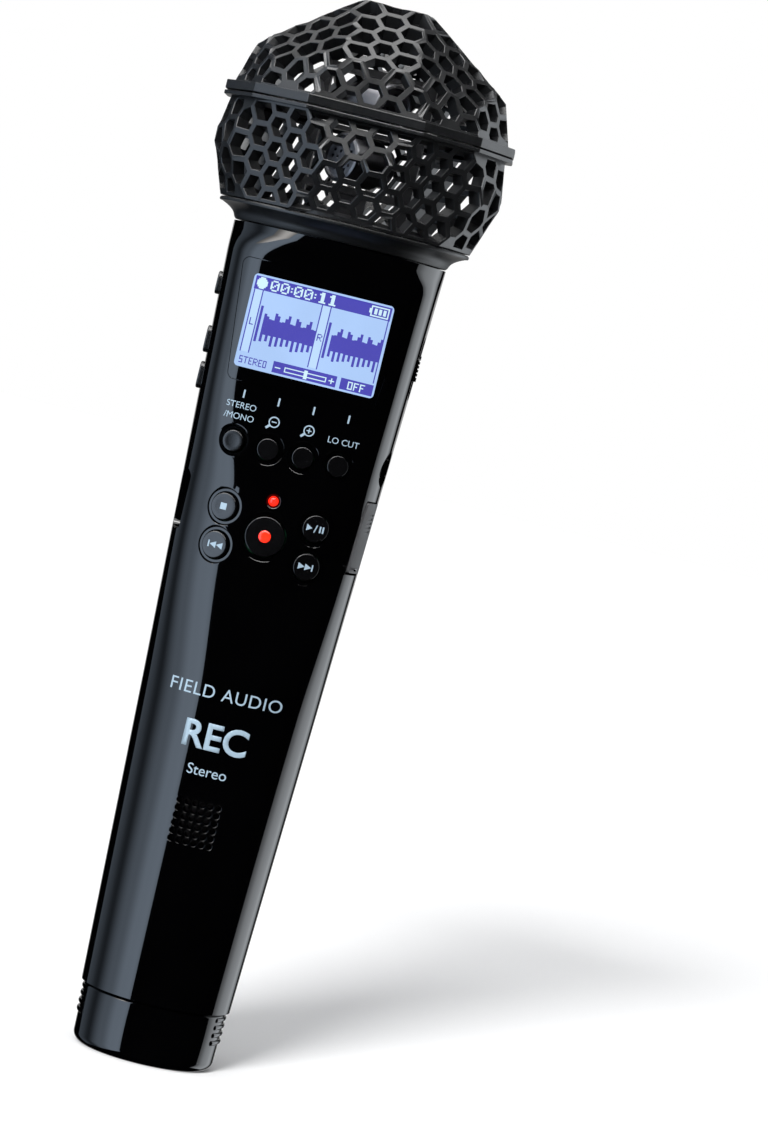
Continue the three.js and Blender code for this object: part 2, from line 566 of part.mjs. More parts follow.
function innerFrame() {
  const sleeve = solid(disc(TUBE.radius, TUBE.bottom, TUBE.top + TUBE.end, 24).translate(0, CELL_AXIS_Y, 0));
  const bore = solid(disc(TUBE.bore, 0, TUBE.top, 24).translate(0, CELL_AXIS_Y, 0));
  const posts = SCREW.heights.flatMap((z) => [-SCREW.x, SCREW.x].map((x) =>
    solid(FACING.back(disc(SCREW_POST.radius, -SCREW_POST.front, postEnd(z), 12)).translate(x, 0, z))));
  const holes = SCREW.heights.flatMap((z) => [-SCREW.x, SCREW.x].map((x) =>
    solid(FACING.back(disc(SCREW.shankRadius + GAP, 4, OUTSIDE, 12)).translate(x, 0, z))));
  const { half, y, bottom, top } = FRAME_PLATE;
  const plate = block([-half, half], y, [bottom, top]);
  const stepTop = bottom + 3;
  const neck = block([-6, 6], [-3, 6], [TUBE.top + 1, stepTop]);
  const step = block([-6, 6], [y[0] + 0.2, 6], [bottom + 0.5, stepTop]);
  return cut(unite([sleeve, plate, neck, step, ...posts]), [bore, ...holes]);
}

function speaker() {
  const { radius, z } = SPEAKER;
  const magnet = 5;
  const shape = turned([
    [0, 6.5], [magnet, 6.5], [magnet, 8.5], [radius, 9.5], [radius, 11], [radius - 0.8, 11.2], [0, 10.6],
  ]);
  return solid(FACING.front(shape).translate(0, 0, z));
}

function battery(index) {
  const { radius, length, bottom, stud, studHeight, edge } = BATTERY;
  const base = bottom + index * (length + GAP);
  const top = base + length;
  const shoulder = top - studHeight;
  const profile = [
    [0, base], [radius - edge, base], [radius, base + edge], [radius, shoulder - edge],
    [radius - edge, shoulder], [stud, shoulder], [stud, top], [0, top],
  ];
  return solid(turned(profile).translate(0, CELL_AXIS_Y, 0));
}

function batteryContact() {
  return solid(disc(6, TUBE.top - 1.1, TUBE.top - GAP, 16).translate(0, CELL_AXIS_Y, 0));
}

function batterySpring() {
  const { outer, inner } = SPRING;
  return solid(tube(outer, inner, CAP.floor + GAP, BATTERY.bottom - GAP, 20).translate(0, CELL_AXIS_Y, 0));
}

function caseScrew(x, z) {
  const seat = screwSeat(z) + GAP;
  const { headRadius, headHeight, shankRadius } = SCREW;
  const top = seat + headHeight;
  const shape = turned([
    [0, 5], [shankRadius, 5], [shankRadius, seat], [headRadius, seat],
    [headRadius, top - 0.3], [headRadius - 0.5, top], [0, top],
  ], 10);
  const [long, thin] = [1.2, 0.25];    // half sizes of the cross recess's arms
  const arm = (dx, dz) => block([x - dx, x + dx], [top - 0.5, OUTSIDE], [z - dz, z + dz]);
  return cut(solid(FACING.back(shape).translate(x, 0, z)), [arm(long, thin), arm(thin, long)]);
}

// ---- end cap ----
function endCap() {
  const { height, radius, floor, bore, spigot } = CAP;
  const skirt = HANDLE.radiusBottom - WALL - 0.4;
  const body = solid(turned([
    [0, 0], [radius - 1.8, 0], [radius - 0.8, 0.5], [radius - 0.2, 1.9], [radius, height - 0.4],
    [radius - 0.4, height], [skirt, height], [skirt, height + spigot], [0, height + spigot],
  ], 36));
  const middle = 14;
  const grips = GRIP.heights.flatMap((z) => [-middle, middle].map((x) => {
    const rib = solid(tube(radius + GRIP.proud, GRIP.root, z - GRIP.halfThick, z + GRIP.halfThick, 36));
    return rib.intersect(block([x - 6, x + 6], [-GRIP.halfWidth, GRIP.halfWidth], [0, OUTSIDE]));
  }));
  const well = solid(disc(bore, floor, OUTSIDE, 24).translate(0, CELL_AXIS_Y, 0));
  return unite([body, ...grips]).subtract(well);
}

// ---- assembly ----
const recorder = new THREE.Group();

function place(name, manifold, finish) {
  const mesh = new THREE.Mesh(geometryOf(manifold), look(...finish));
  mesh.name = name;
  recorder.add(mesh);
}

place('upper_grille', upperGrille(), MATT);
place('lower_grille', lowerGrille(), MATT);
place('neck_collar', neckCollar(), MATT);
place('capsule_holder', capsuleHolder(), [0x101012, 0.5]);
place('capsule_left', capsule(CAPSULE.lowerZ, -45), METAL);
place('capsule_right', capsule(CAPSULE.upperZ, 45), METAL);
place('front_shell', frontShell(), GLOSS);
place('rear_shell', rearShell(), GLOSS);
place('display_window', displayWindow(), GLOSS);
place('display_module', displayModule(), [0xa9ccfb, 0.4]);
place('main_board', mainBoard(), [0x12452b, 0.5]);
place('inner_frame', innerFrame(), [0x1c1c1f, 0.6]);
for (const [name, key] of Object.entries(FRONT_KEYS)) {
  place(name, name === 'record_button' ? recordButton() : frontKey(key), MATT);
}
place('record_lens', recordLens(), [0xe01408, 0.3]);
place('record_light', recordLight(), [0xe01408, 0.3]);
for (const [name, span] of Object.entries(SIDE_KEYS)) place(name, sideKey(span), MATT);
place('power_switch', powerSwitch(), MATT);
place('usb_socket', usbSocket(), METAL);
place('line_out_jack', lineOutJack(), MATT);
place('card_cover', cardCover(), MATT);
place('cover_pin', coverPin(), METAL);
place('card_socket', cardSocket(), METAL);
place('memory_card', memoryCard(), [0x202024, 0.5]);
place('speaker', speaker(), [0x26262a, 0.5]);
[0, 1].forEach((index) => place(`battery_${index + 1}`, battery(index), [0x3a3f46, 0.4]));
place('battery_contact', batteryContact(), METAL);
place('battery_spring', batterySpring(), METAL);
SCREW.heights.forEach((z, row) => [-SCREW.x, SCREW.x].forEach((x, column) =>
  place(`case_screw_${row * 2 + column + 1}`, caseScrew(x, z), [0x2b2b2e, 0.35, 1])));
place('end_cap', endCap(), GLOSS);

export default recorder;
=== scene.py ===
"""Visible pieces of a portable field recorder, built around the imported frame.

Sizes are in millimetres in this file and metres in Blender. The recorder stands on +Z and its
display faces -Y, as in the frame.
"""
import math

import bmesh
import bpy
from bpy.props import FloatProperty, FloatVectorProperty, IntProperty, PointerProperty
from mathutils import Matrix, Vector


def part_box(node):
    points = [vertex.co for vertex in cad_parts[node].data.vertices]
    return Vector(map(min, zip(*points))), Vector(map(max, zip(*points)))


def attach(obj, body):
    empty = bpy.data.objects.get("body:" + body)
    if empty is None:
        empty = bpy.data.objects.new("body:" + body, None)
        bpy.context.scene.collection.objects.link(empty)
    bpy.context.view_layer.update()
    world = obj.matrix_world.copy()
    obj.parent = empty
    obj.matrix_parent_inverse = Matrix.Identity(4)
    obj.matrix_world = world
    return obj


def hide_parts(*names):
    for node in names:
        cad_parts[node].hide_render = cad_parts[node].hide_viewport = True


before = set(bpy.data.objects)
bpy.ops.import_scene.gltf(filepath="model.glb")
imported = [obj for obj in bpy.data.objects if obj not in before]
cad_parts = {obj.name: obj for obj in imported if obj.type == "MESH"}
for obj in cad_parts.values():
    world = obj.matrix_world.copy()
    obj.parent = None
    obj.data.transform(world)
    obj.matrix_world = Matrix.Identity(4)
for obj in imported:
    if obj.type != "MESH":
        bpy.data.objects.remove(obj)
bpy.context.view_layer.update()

bl_info = {
    "name": "Field Recorder Builder",
    "version": (1, 0, 0),
    "blender": (4, 5, 0),
    "location": "3D View > Sidebar > Recorder",
    "description": "Builds the grille, handle, keys, display and stage of a hand-held recorder",
    "category": "Object",
}

MM = 0.001


def low_mm(node):
    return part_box(node)[0] / MM


def high_mm(node):
    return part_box(node)[1] / MM


def middle_mm(node):
    return (low_mm(node) + high_mm(node)) / 2


# ---- sizes that the pieces share, in millimetres ----
HANDLE_BOTTOM = low_mm("front_shell").z
HANDLE_TOP = high_mm("front_shell").z
RADIUS_TOP = high_mm("front_shell").x
WALL = 2.4
FRONT_DROP = 3.3
FRONT_FILL = 0.35
FLAT_FROM = 40.0
FLAT_FULL = 135.0
FLARE_FROM = 159.6
SQUARE_FROM, SQUARE_OVER, SQUARE_MORE = 113, 25, 2.6
FULL_FROM, FULL_OVER = 70, 35
SEAM_FRONT = high_mm("front_shell").y
SEAM_REAR = low_mm("rear_shell").y
CAP_TOP = HANDLE_BOTTOM - 0.3
KEY_PROUD = 0.35
KEY_GAP = 0.35
WELL_DEPTH = 0.75
PORT_DEPTH = 1.1
SWITCH_DEPTH = 1.5
SCREEN_SIZE = (28.0, 18.4)
SCREEN_SINK = 0.25
SCREEN_HOLE = ((-14.3, 14.3), (-30, -6), (138, 157))
SCREW_SEAT = 1.4
CLEAR = 30
SIDE_KEYS = ("menu_button", "volume_up", "volume_down")
CASE_SCREWS = tuple(f"case_screw_{number}" for number in range(1, 5))


def sizes():
    return bpy.context.scene.recorder_sizes


def colours():
    return bpy.context.scene.recorder_colours


class RecorderSizes(bpy.types.PropertyGroup):
    """Sizes of the recorder that its maker would change."""

    radius_bottom: FloatProperty(
        name="Handle radius at the cap", description="Half width of the handle just above the end cap",
        default=15.2 * MM, unit="LENGTH")
    cell_pitch: FloatProperty(
        name="Cell pitch", description="Middle to middle of two honeycomb cells in a column",
        default=4.85 * MM, unit="LENGTH")
    rib_width: FloatProperty(
        name="Rib width", description="Width of the ribs between the honeycomb cells",
        default=1.18 * MM, unit="LENGTH")
    cage_depth: FloatProperty(
        name="Cage depth", description="Depth of the honeycomb's walls", default=2.5 * MM, unit="LENGTH")
    well_lip: FloatProperty(
        name="Well lip", description="Radius of the rounded lip round each key's well",
        default=0.36 * MM, unit="LENGTH")
    print_lift: FloatProperty(
        name="Print lift", description="How far printed marks stand off the surface",
        default=0.03 * MM, unit="LENGTH")
    turning_steps: IntProperty(
        name="Turning steps", description="Flats round a turned piece", default=96, min=12, max=256)


class RecorderColours(bpy.types.PropertyGroup):
    """Colours of the recorder's finishes, as linear light."""

    gloss: FloatVectorProperty(
        name="Gloss black", description="Handle shells and end cap", subtype="COLOR",
        default=(0.0003, 0.0003, 0.0004))
    grille: FloatVectorProperty(
        name="Grille", description="Moulded honeycomb cages", subtype="COLOR",
        default=(0.0036, 0.0038, 0.0042))
    key: FloatVectorProperty(
        name="Keys", description="Front key caps", subtype="COLOR", default=(0.0012, 0.0012, 0.0014))
    mark: FloatVectorProperty(
        name="Printed marks", description="Printed letters and icons", subtype="COLOR",
        default=(0.2, 0.27, 0.33))
    screen_light: FloatVectorProperty(
        name="Screen light", description="Lit background of the display", subtype="COLOR",
        default=(0.42, 0.61, 0.96))
    screen_dark: FloatVectorProperty(
        name="Screen dark", description="Dark figures on the display", subtype="COLOR",
        default=(0.062, 0.056, 0.45))
    lamp: FloatVectorProperty(
        name="Lamp", description="Red record lamp", subtype="COLOR", default=(1.0, 0.02, 0.008))


# ---- modelling helpers ----
def clear_selection():
    for item in list(bpy.context.selected_objects):
        item.select_set(False)


def make_active(piece):
    clear_selection()
    piece.select_set(True)
    bpy.context.view_layer.objects.active = piece


def name_piece(name):
    piece = bpy.context.active_object
    piece.name = name
    piece.data.name = name
    return piece


def draw_line(name, points):
    """Starts a mesh at the first point and extrudes it from point to point, all in millimetres."""
    clear_selection()
    bpy.ops.mesh.primitive_plane_add(size=MM)
    piece = name_piece(name)
    bpy.ops.object.mode_set(mode="EDIT")
    bpy.ops.mesh.merge(type="CENTER")
    at = Vector((0, 0, 0))
    for number, point in enumerate(points):
        step = (Vector(point) - at) * MM
        if number == 0:
            bpy.ops.transform.translate(value=step)
        else:
            bpy.ops.mesh.extrude_region_move(TRANSFORM_OT_translate={"value": step})
        at = Vector(point)
    return piece


def close_mesh():
    bpy.ops.mesh.select_all(action="SELECT")
    bpy.ops.mesh.remove_doubles(threshold=2e-6)
    bpy.ops.mesh.normals_make_consistent(inside=False)
    bpy.ops.object.mode_set(mode="OBJECT")


def turned(name, profile, steps=None):
    """A piece turned about +Z from (radius, height) points."""
    piece = draw_line(name, [(radius, 0, height) for radius, height in profile])
    bpy.ops.mesh.select_all(action="SELECT")
    bpy.ops.mesh.spin(
        steps=steps or sizes().turning_steps, angle=math.tau, center=(0, 0, 0), axis=(0, 0, 1))
    close_mesh()
    return piece


def prism(name, outline, z0, z1):
    """A straight prism over a closed outline of (x, y) points."""
    piece = draw_line(name, [(x, y, z0) for x, y in list(outline) + [outline[0]]])
    bpy.ops.mesh.select_all(action="SELECT")
    bpy.ops.mesh.remove_doubles(threshold=1e-7)
    bpy.ops.mesh.edge_face_add()
    bpy.ops.mesh.extrude_region_move(TRANSFORM_OT_translate={"value": (0, 0, (z1 - z0) * MM)})
    close_mesh()
    return piece


def rod(name, radius, z0, z1, steps):
    return turned(name, [(0, z0), (radius, z0), (radius, z1), (0, z1)], steps)


def around(middle, half):
    return middle - half, middle + half


def block(name, x, y, z):
    """A box from three spans, each a lowest and a highest value."""
    clear_selection()
    bpy.ops.mesh.primitive_cube_add(
        size=MM, location=[sum(span) / 2 * MM for span in (x, y, z)],
        scale=[span[1] - span[0] for span in (x, y, z)])
    bpy.ops.object.transform_apply(location=True, rotation=True, scale=True)
    return name_piece(name)


def arc(x, y, radius, start, end, count=6):
    """Points on an arc, from angle start to end in degrees."""
    turns = [math.radians(start + (end - start) * k / count) for k in range(count + 1)]
    return [(x + radius * math.cos(a), y + radius * math.sin(a)) for a in turns]


def rounded_outline(half_low, half_high, low, high, radius, count=6):
    """A tapering rectangle with round corners: half widths at its low and high ends."""
    lean = math.degrees(math.atan2(half_high - half_low, high - low))
    corners = (
        (half_low - radius, low + radius, -90, lean * -1),
        (half_high - radius, high - radius, -lean, 90),
        (radius - half_high, high - radius, 90, 180 + lean),
        (radius - half_low, low + radius, 180 + lean, 270))
    return [point for x, y, a, b in corners for point in arc(x, y, radius, a, b, count)]


UPRIGHT = Matrix.Identity(4)
FRONT = Matrix.Rotation(math.radians(90), 4, "X")
BACK = Matrix.Rotation(math.radians(-90), 4, "X")
LEFT = Matrix(((0, 0, -1, 0), (-1, 0, 0, 0), (0, 1, 0, 0), (0, 0, 0, 1)))
RIGHT = Matrix(((0, 0, 1, 0), (1, 0, 0, 0), (0, 1, 0, 0), (0, 0, 0, 1)))


def put(piece, turn, x=0.0, y=0.0, z=0.0, lean=0.0, yaw=0.0):
    """Turns a mesh that was made about +Z, leans it back about X, yaws it, and moves it."""
    tilt = Matrix.Rotation(math.radians(yaw), 4, "Z") @ Matrix.Rotation(math.radians(lean), 4, "X")
    piece.data.transform(Matrix.Translation(Vector((x, y, z)) * MM) @ tilt @ turn)
    return piece


def put_on_front(piece, x, z, yaw_share=1.0):
    """Stands a mesh that was made about +Z on the handle's front, along the surface's normal."""
    return put(piece, FRONT, x, front_y(x, z), z, front_lean(z), front_yaw(x, z) * yaw_share)


def joined(name, pieces):
    clear_selection()
    for piece in pieces:
        piece.select_set(True)
    bpy.context.view_layer.objects.active = pieces[0]
    bpy.ops.object.join()
    return name_piece(name)


def mesh_piece(name, mesh):
    """Makes a piece of a mesh that is complete."""
    data = bpy.data.meshes.new(name)
    mesh.to_mesh(data)
    mesh.free()
    piece = bpy.data.objects.new(name, data)
    bpy.context.scene.collection.objects.link(piece)
    return piece


def carve(piece, tools, operation="DIFFERENCE"):
    """Cuts a piece by closed tools, one after another, and clears the tools away."""
    for tool in tools:
        cut = piece.modifiers.new("cut", "BOOLEAN")
        cut.operation = operation
        cut.solver = "MANIFOLD"
        cut.object = tool
        make_active(piece)
        bpy.ops.object.modifier_apply(modifier=cut.name)
        bpy.data.objects.remove(tool)
    return piece


def soften(piece, width, segments=2, angle=40):
    bevel = piece.modifiers.new("soften", "BEVEL")
    bevel.width = width * MM
    bevel.segments = segments
    bevel.limit_method = "ANGLE"
    bevel.angle_limit = math.radians(angle)
    bevel.harden_normals = False
    make_active(piece)
    bpy.ops.object.modifier_apply(modifier=bevel.name)
    return piece


def smooth(piece, angle=32):
    make_active(piece)
    bpy.ops.object.shade_smooth_by_angle(angle=math.radians(angle))
    return piece


def finish(piece, body, material, nodes=()):
    """Gives a piece its material, its body and the CAD nodes that it stands for."""
    piece.data.materials.clear()
    piece.data.materials.append(material)
    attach(piece, body)
    if nodes:
        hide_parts(*nodes)
    return piece


# ---- materials ----
def emptied(owner):
    """Clears the node tree of a material or world, and gives its nodes and links."""
    owner.use_nodes = True
    owner.node_tree.nodes.clear()
    return owner.node_tree.nodes, owner.node_tree.links


def blank_material(name):
    material = bpy.data.materials.get(name) or bpy.data.materials.new(name)
    nodes, links = emptied(material)
    shader = nodes.new("ShaderNodeBsdfPrincipled")
    output = nodes.new("ShaderNodeOutputMaterial")
    links.new(shader.outputs[0], output.inputs[0])
    return material, nodes, links, shader


def add_node(nodes, kind, **values):
    """Adds a node and sets its inputs, whose names have underscores for spaces here."""
    node = nodes.new(f"ShaderNode{kind}")
    for name, value in values.items():
        node.inputs[name.replace("_", " ")].default_value = value
    return node


def noise(nodes, links, scale, detail=3.0, stretch=(1, 1, 1)):
    place = add_node(nodes, "TexCoord")
    mapping = add_node(nodes, "Mapping", Scale=stretch)
    pattern = add_node(nodes, "TexNoise", Scale=scale, Detail=detail)
    links.new(place.outputs["Object"], mapping.inputs[0])
    links.new(mapping.outputs[0], pattern.inputs["Vector"])
    return pattern.outputs["Fac"]


def spread(nodes, links, source, low, high, start=0.3, end=0.7):
    """Spreads a value that lies between start and end over the range low to high."""
    node = add_node(nodes, "MapRange", From_Min=start, From_Max=end, To_Min=low, To_Max=high)
    links.new(source, node.inputs["Value"])
    return node.outputs[0]


def tint(nodes, links, source, dark, light):
    node = add_node(nodes, "ValToRGB")
    for stop, share, colour in zip(node.color_ramp.elements, (0.35, 0.65), (dark, light)):
        stop.position = share
        stop.color = (*colour, 1)
    links.new(source, node.inputs[0])
    return node.outputs[0]


def mottled(nodes, links, colour, vary, scale, detail, stretch=(1, 1, 1)):
    """A colour that a cloudy pattern varies by a share of itself."""
    pattern = noise(nodes, links, scale, detail, stretch)
    dark, light = ([min(c * share, 1.0) for c in colour] for share in (1 - vary, 1 + vary))
    return tint(nodes, links, pattern, dark, light)


def moulded(name, colour, roughness, grain=900.0, depth=0.00004, vary=0.15, metal=0.0,
            stretch=(1, 1, 1), strength=0.5):
    """Moulded, painted or plated finish: mottled colour, uneven gloss and a fine grain."""
    material, nodes, links, shader = blank_material(name)
    links.new(mottled(nodes, links, colour, vary, 60.0, 4.0, stretch), shader.inputs["Base Color"])
    uneven = noise(nodes, links, 140.0, 5.0, stretch)
    ranged = spread(nodes, links, uneven, roughness * 0.85, roughness * 1.15)
    links.new(ranged, shader.inputs["Roughness"])
    shader.inputs["Metallic"].default_value = metal
    bump = add_node(nodes, "Bump", Strength=strength, Distance=depth)
    links.new(noise(nodes, links, grain, 2.0, stretch), bump.inputs["Height"])
    links.new(bump.outputs[0], shader.inputs["Normal"])
    return material


def lit(name, colour, strength, vary=0.03, base=(0.01, 0.01, 0.01)):
    """A lit surface under a polished cover."""
    material, nodes, links, shader = blank_material(name)
    links.new(mottled(nodes, links, colour, vary, 90.0, 2.0), shader.inputs["Emission Color"])
    shader.inputs["Emission Strength"].default_value = strength
    shader.inputs["Base Color"].default_value = (*base, 1)
    shader.inputs["Roughness"].default_value = 0.25
    return material


def gloss_black():
    return moulded("gloss_black", colours().gloss, 0.045, 260.0, 0.000004, 0.25, strength=0.15)


def grille_black():
    return moulded("grille_black", colours().grille, 0.34, 2600.0, 0.00002, 0.18)


def collar_black():
    return moulded("collar_black", [c * 0.55 for c in colours().grille], 0.42, 3200.0, 0.00002, 0.15)


def key_black():
    return moulded("key_black", colours().key, 0.2, 3000.0, 0.000004, 0.2, strength=0.2)


def side_black():
    return moulded("side_key_black", colours().key, 0.3, 2600.0, 0.00002, 0.2)


def print_grey():
    return moulded("print_grey", colours().mark, 0.4, 2400.0, 0.00001, 0.06)


# ---- the handle's section ----
def ease(t):
    t = min(max(t, 0.0), 1.0)
    return t * t * (3 - 2 * t)


def half_width(z):
    bottom = sizes().radius_bottom / MM
    return bottom + (z - HANDLE_BOTTOM) * (RADIUS_TOP - bottom) / (HANDLE_TOP - HANDLE_BOTTOM)


def below_flare(z):
    """One up to the handle's flare, from where it eases to nothing at the top."""
    return 1 - ease((z - FLARE_FROM) / (HANDLE_TOP - FLARE_FROM))


def flat_share(z):
    return ease((z - FLAT_FROM) / (FLAT_FULL - FLAT_FROM)) * below_flare(z)


def front_depth(z):
    return half_width(z) - FRONT_DROP * flat_share(z)


def front_lean(z):
    """Lean of the front surface at height z, in degrees."""
    return math.degrees(math.atan(crown(z + 0.5) - crown(z - 0.5)))


def section_powers(z):
    """How square the front's section is at height z: the power over x, and the power over y."""
    over_x = 2 + SQUARE_MORE * ease((z - SQUARE_FROM) / SQUARE_OVER) * below_flare(z)
    over_y = 2 + ease((z - FULL_FROM) / FULL_OVER) * below_flare(z)
    return over_x, over_y


def crown(z):
    return front_depth(z) + FRONT_FILL * flat_share(z)


def section_point(angle, z, inset):
    """A point on the handle's section: round behind, and a fuller, flatter curve in front."""
    half = half_width(z) - inset
    c, s = math.cos(angle), math.sin(angle)
    if s > -1e-9:
        return half * c, half * s
    over_x, over_y = section_powers(z)
    x = half * math.copysign(abs(c) ** (2 / over_x), c)
    return x, -(crown(z) - inset) * abs(s) ** (2 / over_y)


def front_y(x, z):
    """Y of the front surface, over x at height z."""
    over_x, over_y = section_powers(z)
    share = min(abs(x) / half_width(z), 1.0) ** over_x
    return -crown(z) * (1 - share) ** (1 / over_y)


def side_x(y, z):
    """How far out the side's surface stands, over y at height z."""
    over_x, over_y = section_powers(z)
    if y > 0:
        return math.sqrt(half_width(z) ** 2 - y ** 2)
    return half_width(z) * (1 - (abs(y) / crown(z)) ** over_y) ** (1 / over_x)


def front_yaw(x, z):
    """How far the front surface at x turns away from straight ahead, in degrees."""
    return math.degrees(math.atan(front_y(x + 0.2, z) / 0.4 - front_y(x - 0.2, z) / 0.4))


def handle_blank(name, outside=0.0, inside=WALL):
    """Both shells in one: a turned tube whose points are drawn onto the handle's section."""
    ring_step, inner_mark, outer_mark = 1.4, 1.0, 2.0
    count = round((HANDLE_TOP - HANDLE_BOTTOM) / ring_step)
    heights = [HANDLE_BOTTOM + (HANDLE_TOP - HANDLE_BOTTOM) * k / count for k in range(count + 1)]
    inner = heights[::-6] + [HANDLE_BOTTOM]
    profile = [(outer_mark, z) for z in heights] + [(inner_mark, z) for z in inner]
    blank = turned(name, profile + [(outer_mark, heights[0])], 144)
    for vertex in blank.data.vertices:
        x, y, z = (c / MM for c in vertex.co)
        inset = inside if math.hypot(x, y) < (inner_mark + outer_mark) / 2 else outside
        px, py = section_point(math.atan2(y, x), z, inset)
        vertex.co = Vector((px, py, z)) * MM
    return blank


def keep_side(piece, y, front):
    make_active(piece)
    bpy.ops.object.mode_set(mode="EDIT")
    bpy.ops.mesh.select_all(action="SELECT")
    bpy.ops.mesh.bisect(
        plane_co=(0, y * MM, 0), plane_no=(0, 1, 0), use_fill=True,
        clear_outer=front, clear_inner=not front, threshold=1e-6)
    close_mesh()
    return piece


# ---- front keys ----
def key_places():
    """Name, x, z, cap radius and well radius of each round key on the front."""
    rows = (
        (("key_stereo_mono", "key_zoom_out", "key_zoom_in", "key_low_cut"), 2.1, 3.05),
        (("stop_button", "rewind_button", "play_button", "forward_button"), 2.65, 3.6),
        (("record_button",), 3.9, 4.8))
    return [(name, middle_mm(name).x, middle_mm(name).z, cap, well)
            for names, cap, well in rows for name in names]


def rounded_edge(radius, edge):
    """Points of a quarter circle, each placed by a function of how far across and up it is."""
    return [edge(radius * math.sin(a), radius * math.cos(a))
            for a in [math.radians(15 * k) for k in range(7)]]


def well_tool(name, x, z, hole, well, depth):
    """Cutter for a key's well: a rounded lip, a shallow well and a hole through the wall."""
    lip, corner, past = sizes().well_lip / MM, 0.15, 3
    flare = rounded_edge(lip, lambda across, up: (well + lip - across, up - lip))
    profile = [(0, past), (well + lip, past)] + flare + [(well, -depth + corner), (well - corner, -depth)]
    profile += [(hole, -depth), (hole, -WALL - past), (0, -WALL - past)]
    return put_on_front(turned(name, profile, 72), x, z)


def side_bar(name, side, spot, reach_up, half, low, high, count=6):
    """A bar with round ends on a side, from x = low to x = high, that reaches up and down from a spot."""
    outline = rounded_outline(half, half, spot.z - reach_up, spot.z + reach_up, half * 0.96, count)
    return put(prism(name, outline, low, high), RIGHT if side > 0 else LEFT, 0, spot.y, 0)


def half_height(node):
    return (high_mm(node).z - low_mm(node).z) / 2


def window_frame(grow):
    """Outline of the display window, grown all round."""
    low, high = low_mm("display_window"), high_mm("display_window")
    taper, corner = 2.15, 1.3
    return rounded_outline(
        high.x - taper + grow, high.x + grow, low.z - grow, high.z + grow, corner + grow)


def facing_prism(outline, turn):
    """A prism over a flat outline that runs out through the front or a side."""
    return put(prism("tool_outline", outline, 6, CLEAR), turn)


def skin_slice(name, outline, outside, inside, turn=FRONT):
    """The part of the handle's skin that lies over an outline on the front or a side."""
    return carve(handle_blank(name, outside, inside), [facing_prism(outline, turn)], "INTERSECT")


def front_tools():
    """Cutters for the key wells, the lamp, the window, the screen and the speaker's holes."""
    tools = [well_tool(f"tool_{name}", x, z, cap + KEY_GAP, well, WELL_DEPTH)
             for name, x, z, cap, well in key_places()]
    lamp = middle_mm("record_light")
    tools.append(well_tool("tool_lamp", lamp.x, lamp.z, 1.0, 1.25, 0.3))
    tools.append(skin_slice("tool_window", window_frame(0.13), -1.0, 1.5))
    tools.append(block("tool_screen", *SCREEN_HOLE))
    pitch, count, lip, bore, deep = 1.55, 6, 0.76, 0.58, 6
    first = (count - 1) / 2
    profile = [(0, 2), (lip, 2), (lip, 0.02), (0.66, -0.08), (bore, -0.22), (bore, -deep), (0, -deep)]
    for column in range(count):
        for row in range(count):
            tool = turned("tool_speaker", profile, 14)
            up = middle_mm("speaker").z + (row - first) * pitch
            tools.append(put_on_front(tool, (column - first) * pitch, up))
    return tools


def side_tools():
    """Cutters for the side keys, the socket, the jack, the switch and the card cover."""
    tools = [side_bar("tool_key", -1, middle_mm(name), half_height(name) - 0.5, 1.85, 14, CLEAR)
             for name in SIDE_KEYS]
    port, jack, switch = (middle_mm(name) for name in ("usb_socket", "line_out_jack", "power_switch"))
    skin = side_x(port.y, port.z)
    tools.append(side_bar("tool_port", -1, port, 6.2, 2.7, skin - PORT_DEPTH, CLEAR))
    tools.append(side_bar("tool_port_hole", -1, port, 4.8, 1.95, 10, skin - 1))
    tools.append(put(rod("tool_jack", 3.7, 14, CLEAR, 48), RIGHT, 0, jack.y, jack.z))
    skin = half_width(switch.z)
    tools.append(side_bar("tool_slot", 1, switch, 6.5, 1.9, skin - SWITCH_DEPTH, CLEAR))
    tools.append(side_bar("tool_slot_neck", 1, switch, 5.4, 1.0, 14, skin - 1.2))
    low, high, gap, gap_below = low_mm("card_cover"), high_mm("card_cover"), 0.3, 0.48
    tools.append(block("tool_cover", (10, CLEAR), (low.y - gap, high.y + gap),
                       (low.z - gap_below, high.z + gap)))
    return tools


class RECORDER_OT_handle(bpy.types.Operator):
    """Build the front and rear shells of the handle"""

    bl_idname = "recorder.handle"
    bl_label = "Handle shells"

    def execute(self, context):
        front = keep_side(handle_blank("front_shell_skin"), SEAM_FRONT, True)
        carve(front, front_tools() + side_tools())
        finish(smooth(front), "recorder", gloss_black(), ["front_shell"])
        rear = keep_side(handle_blank("rear_shell_skin"), SEAM_REAR, False)
        seats = []
        for name in CASE_SCREWS:
            seat = rod("tool_screw", 2.2, high_mm(name).y - SCREW_SEAT, CLEAR, 32)
            seats.append(put(seat, BACK, middle_mm(name).x, 0, middle_mm(name).z))
        carve(rear, seats)
        finish(smooth(rear), "recorder", gloss_black(), ["rear_shell"])
        return {"FINISHED"}


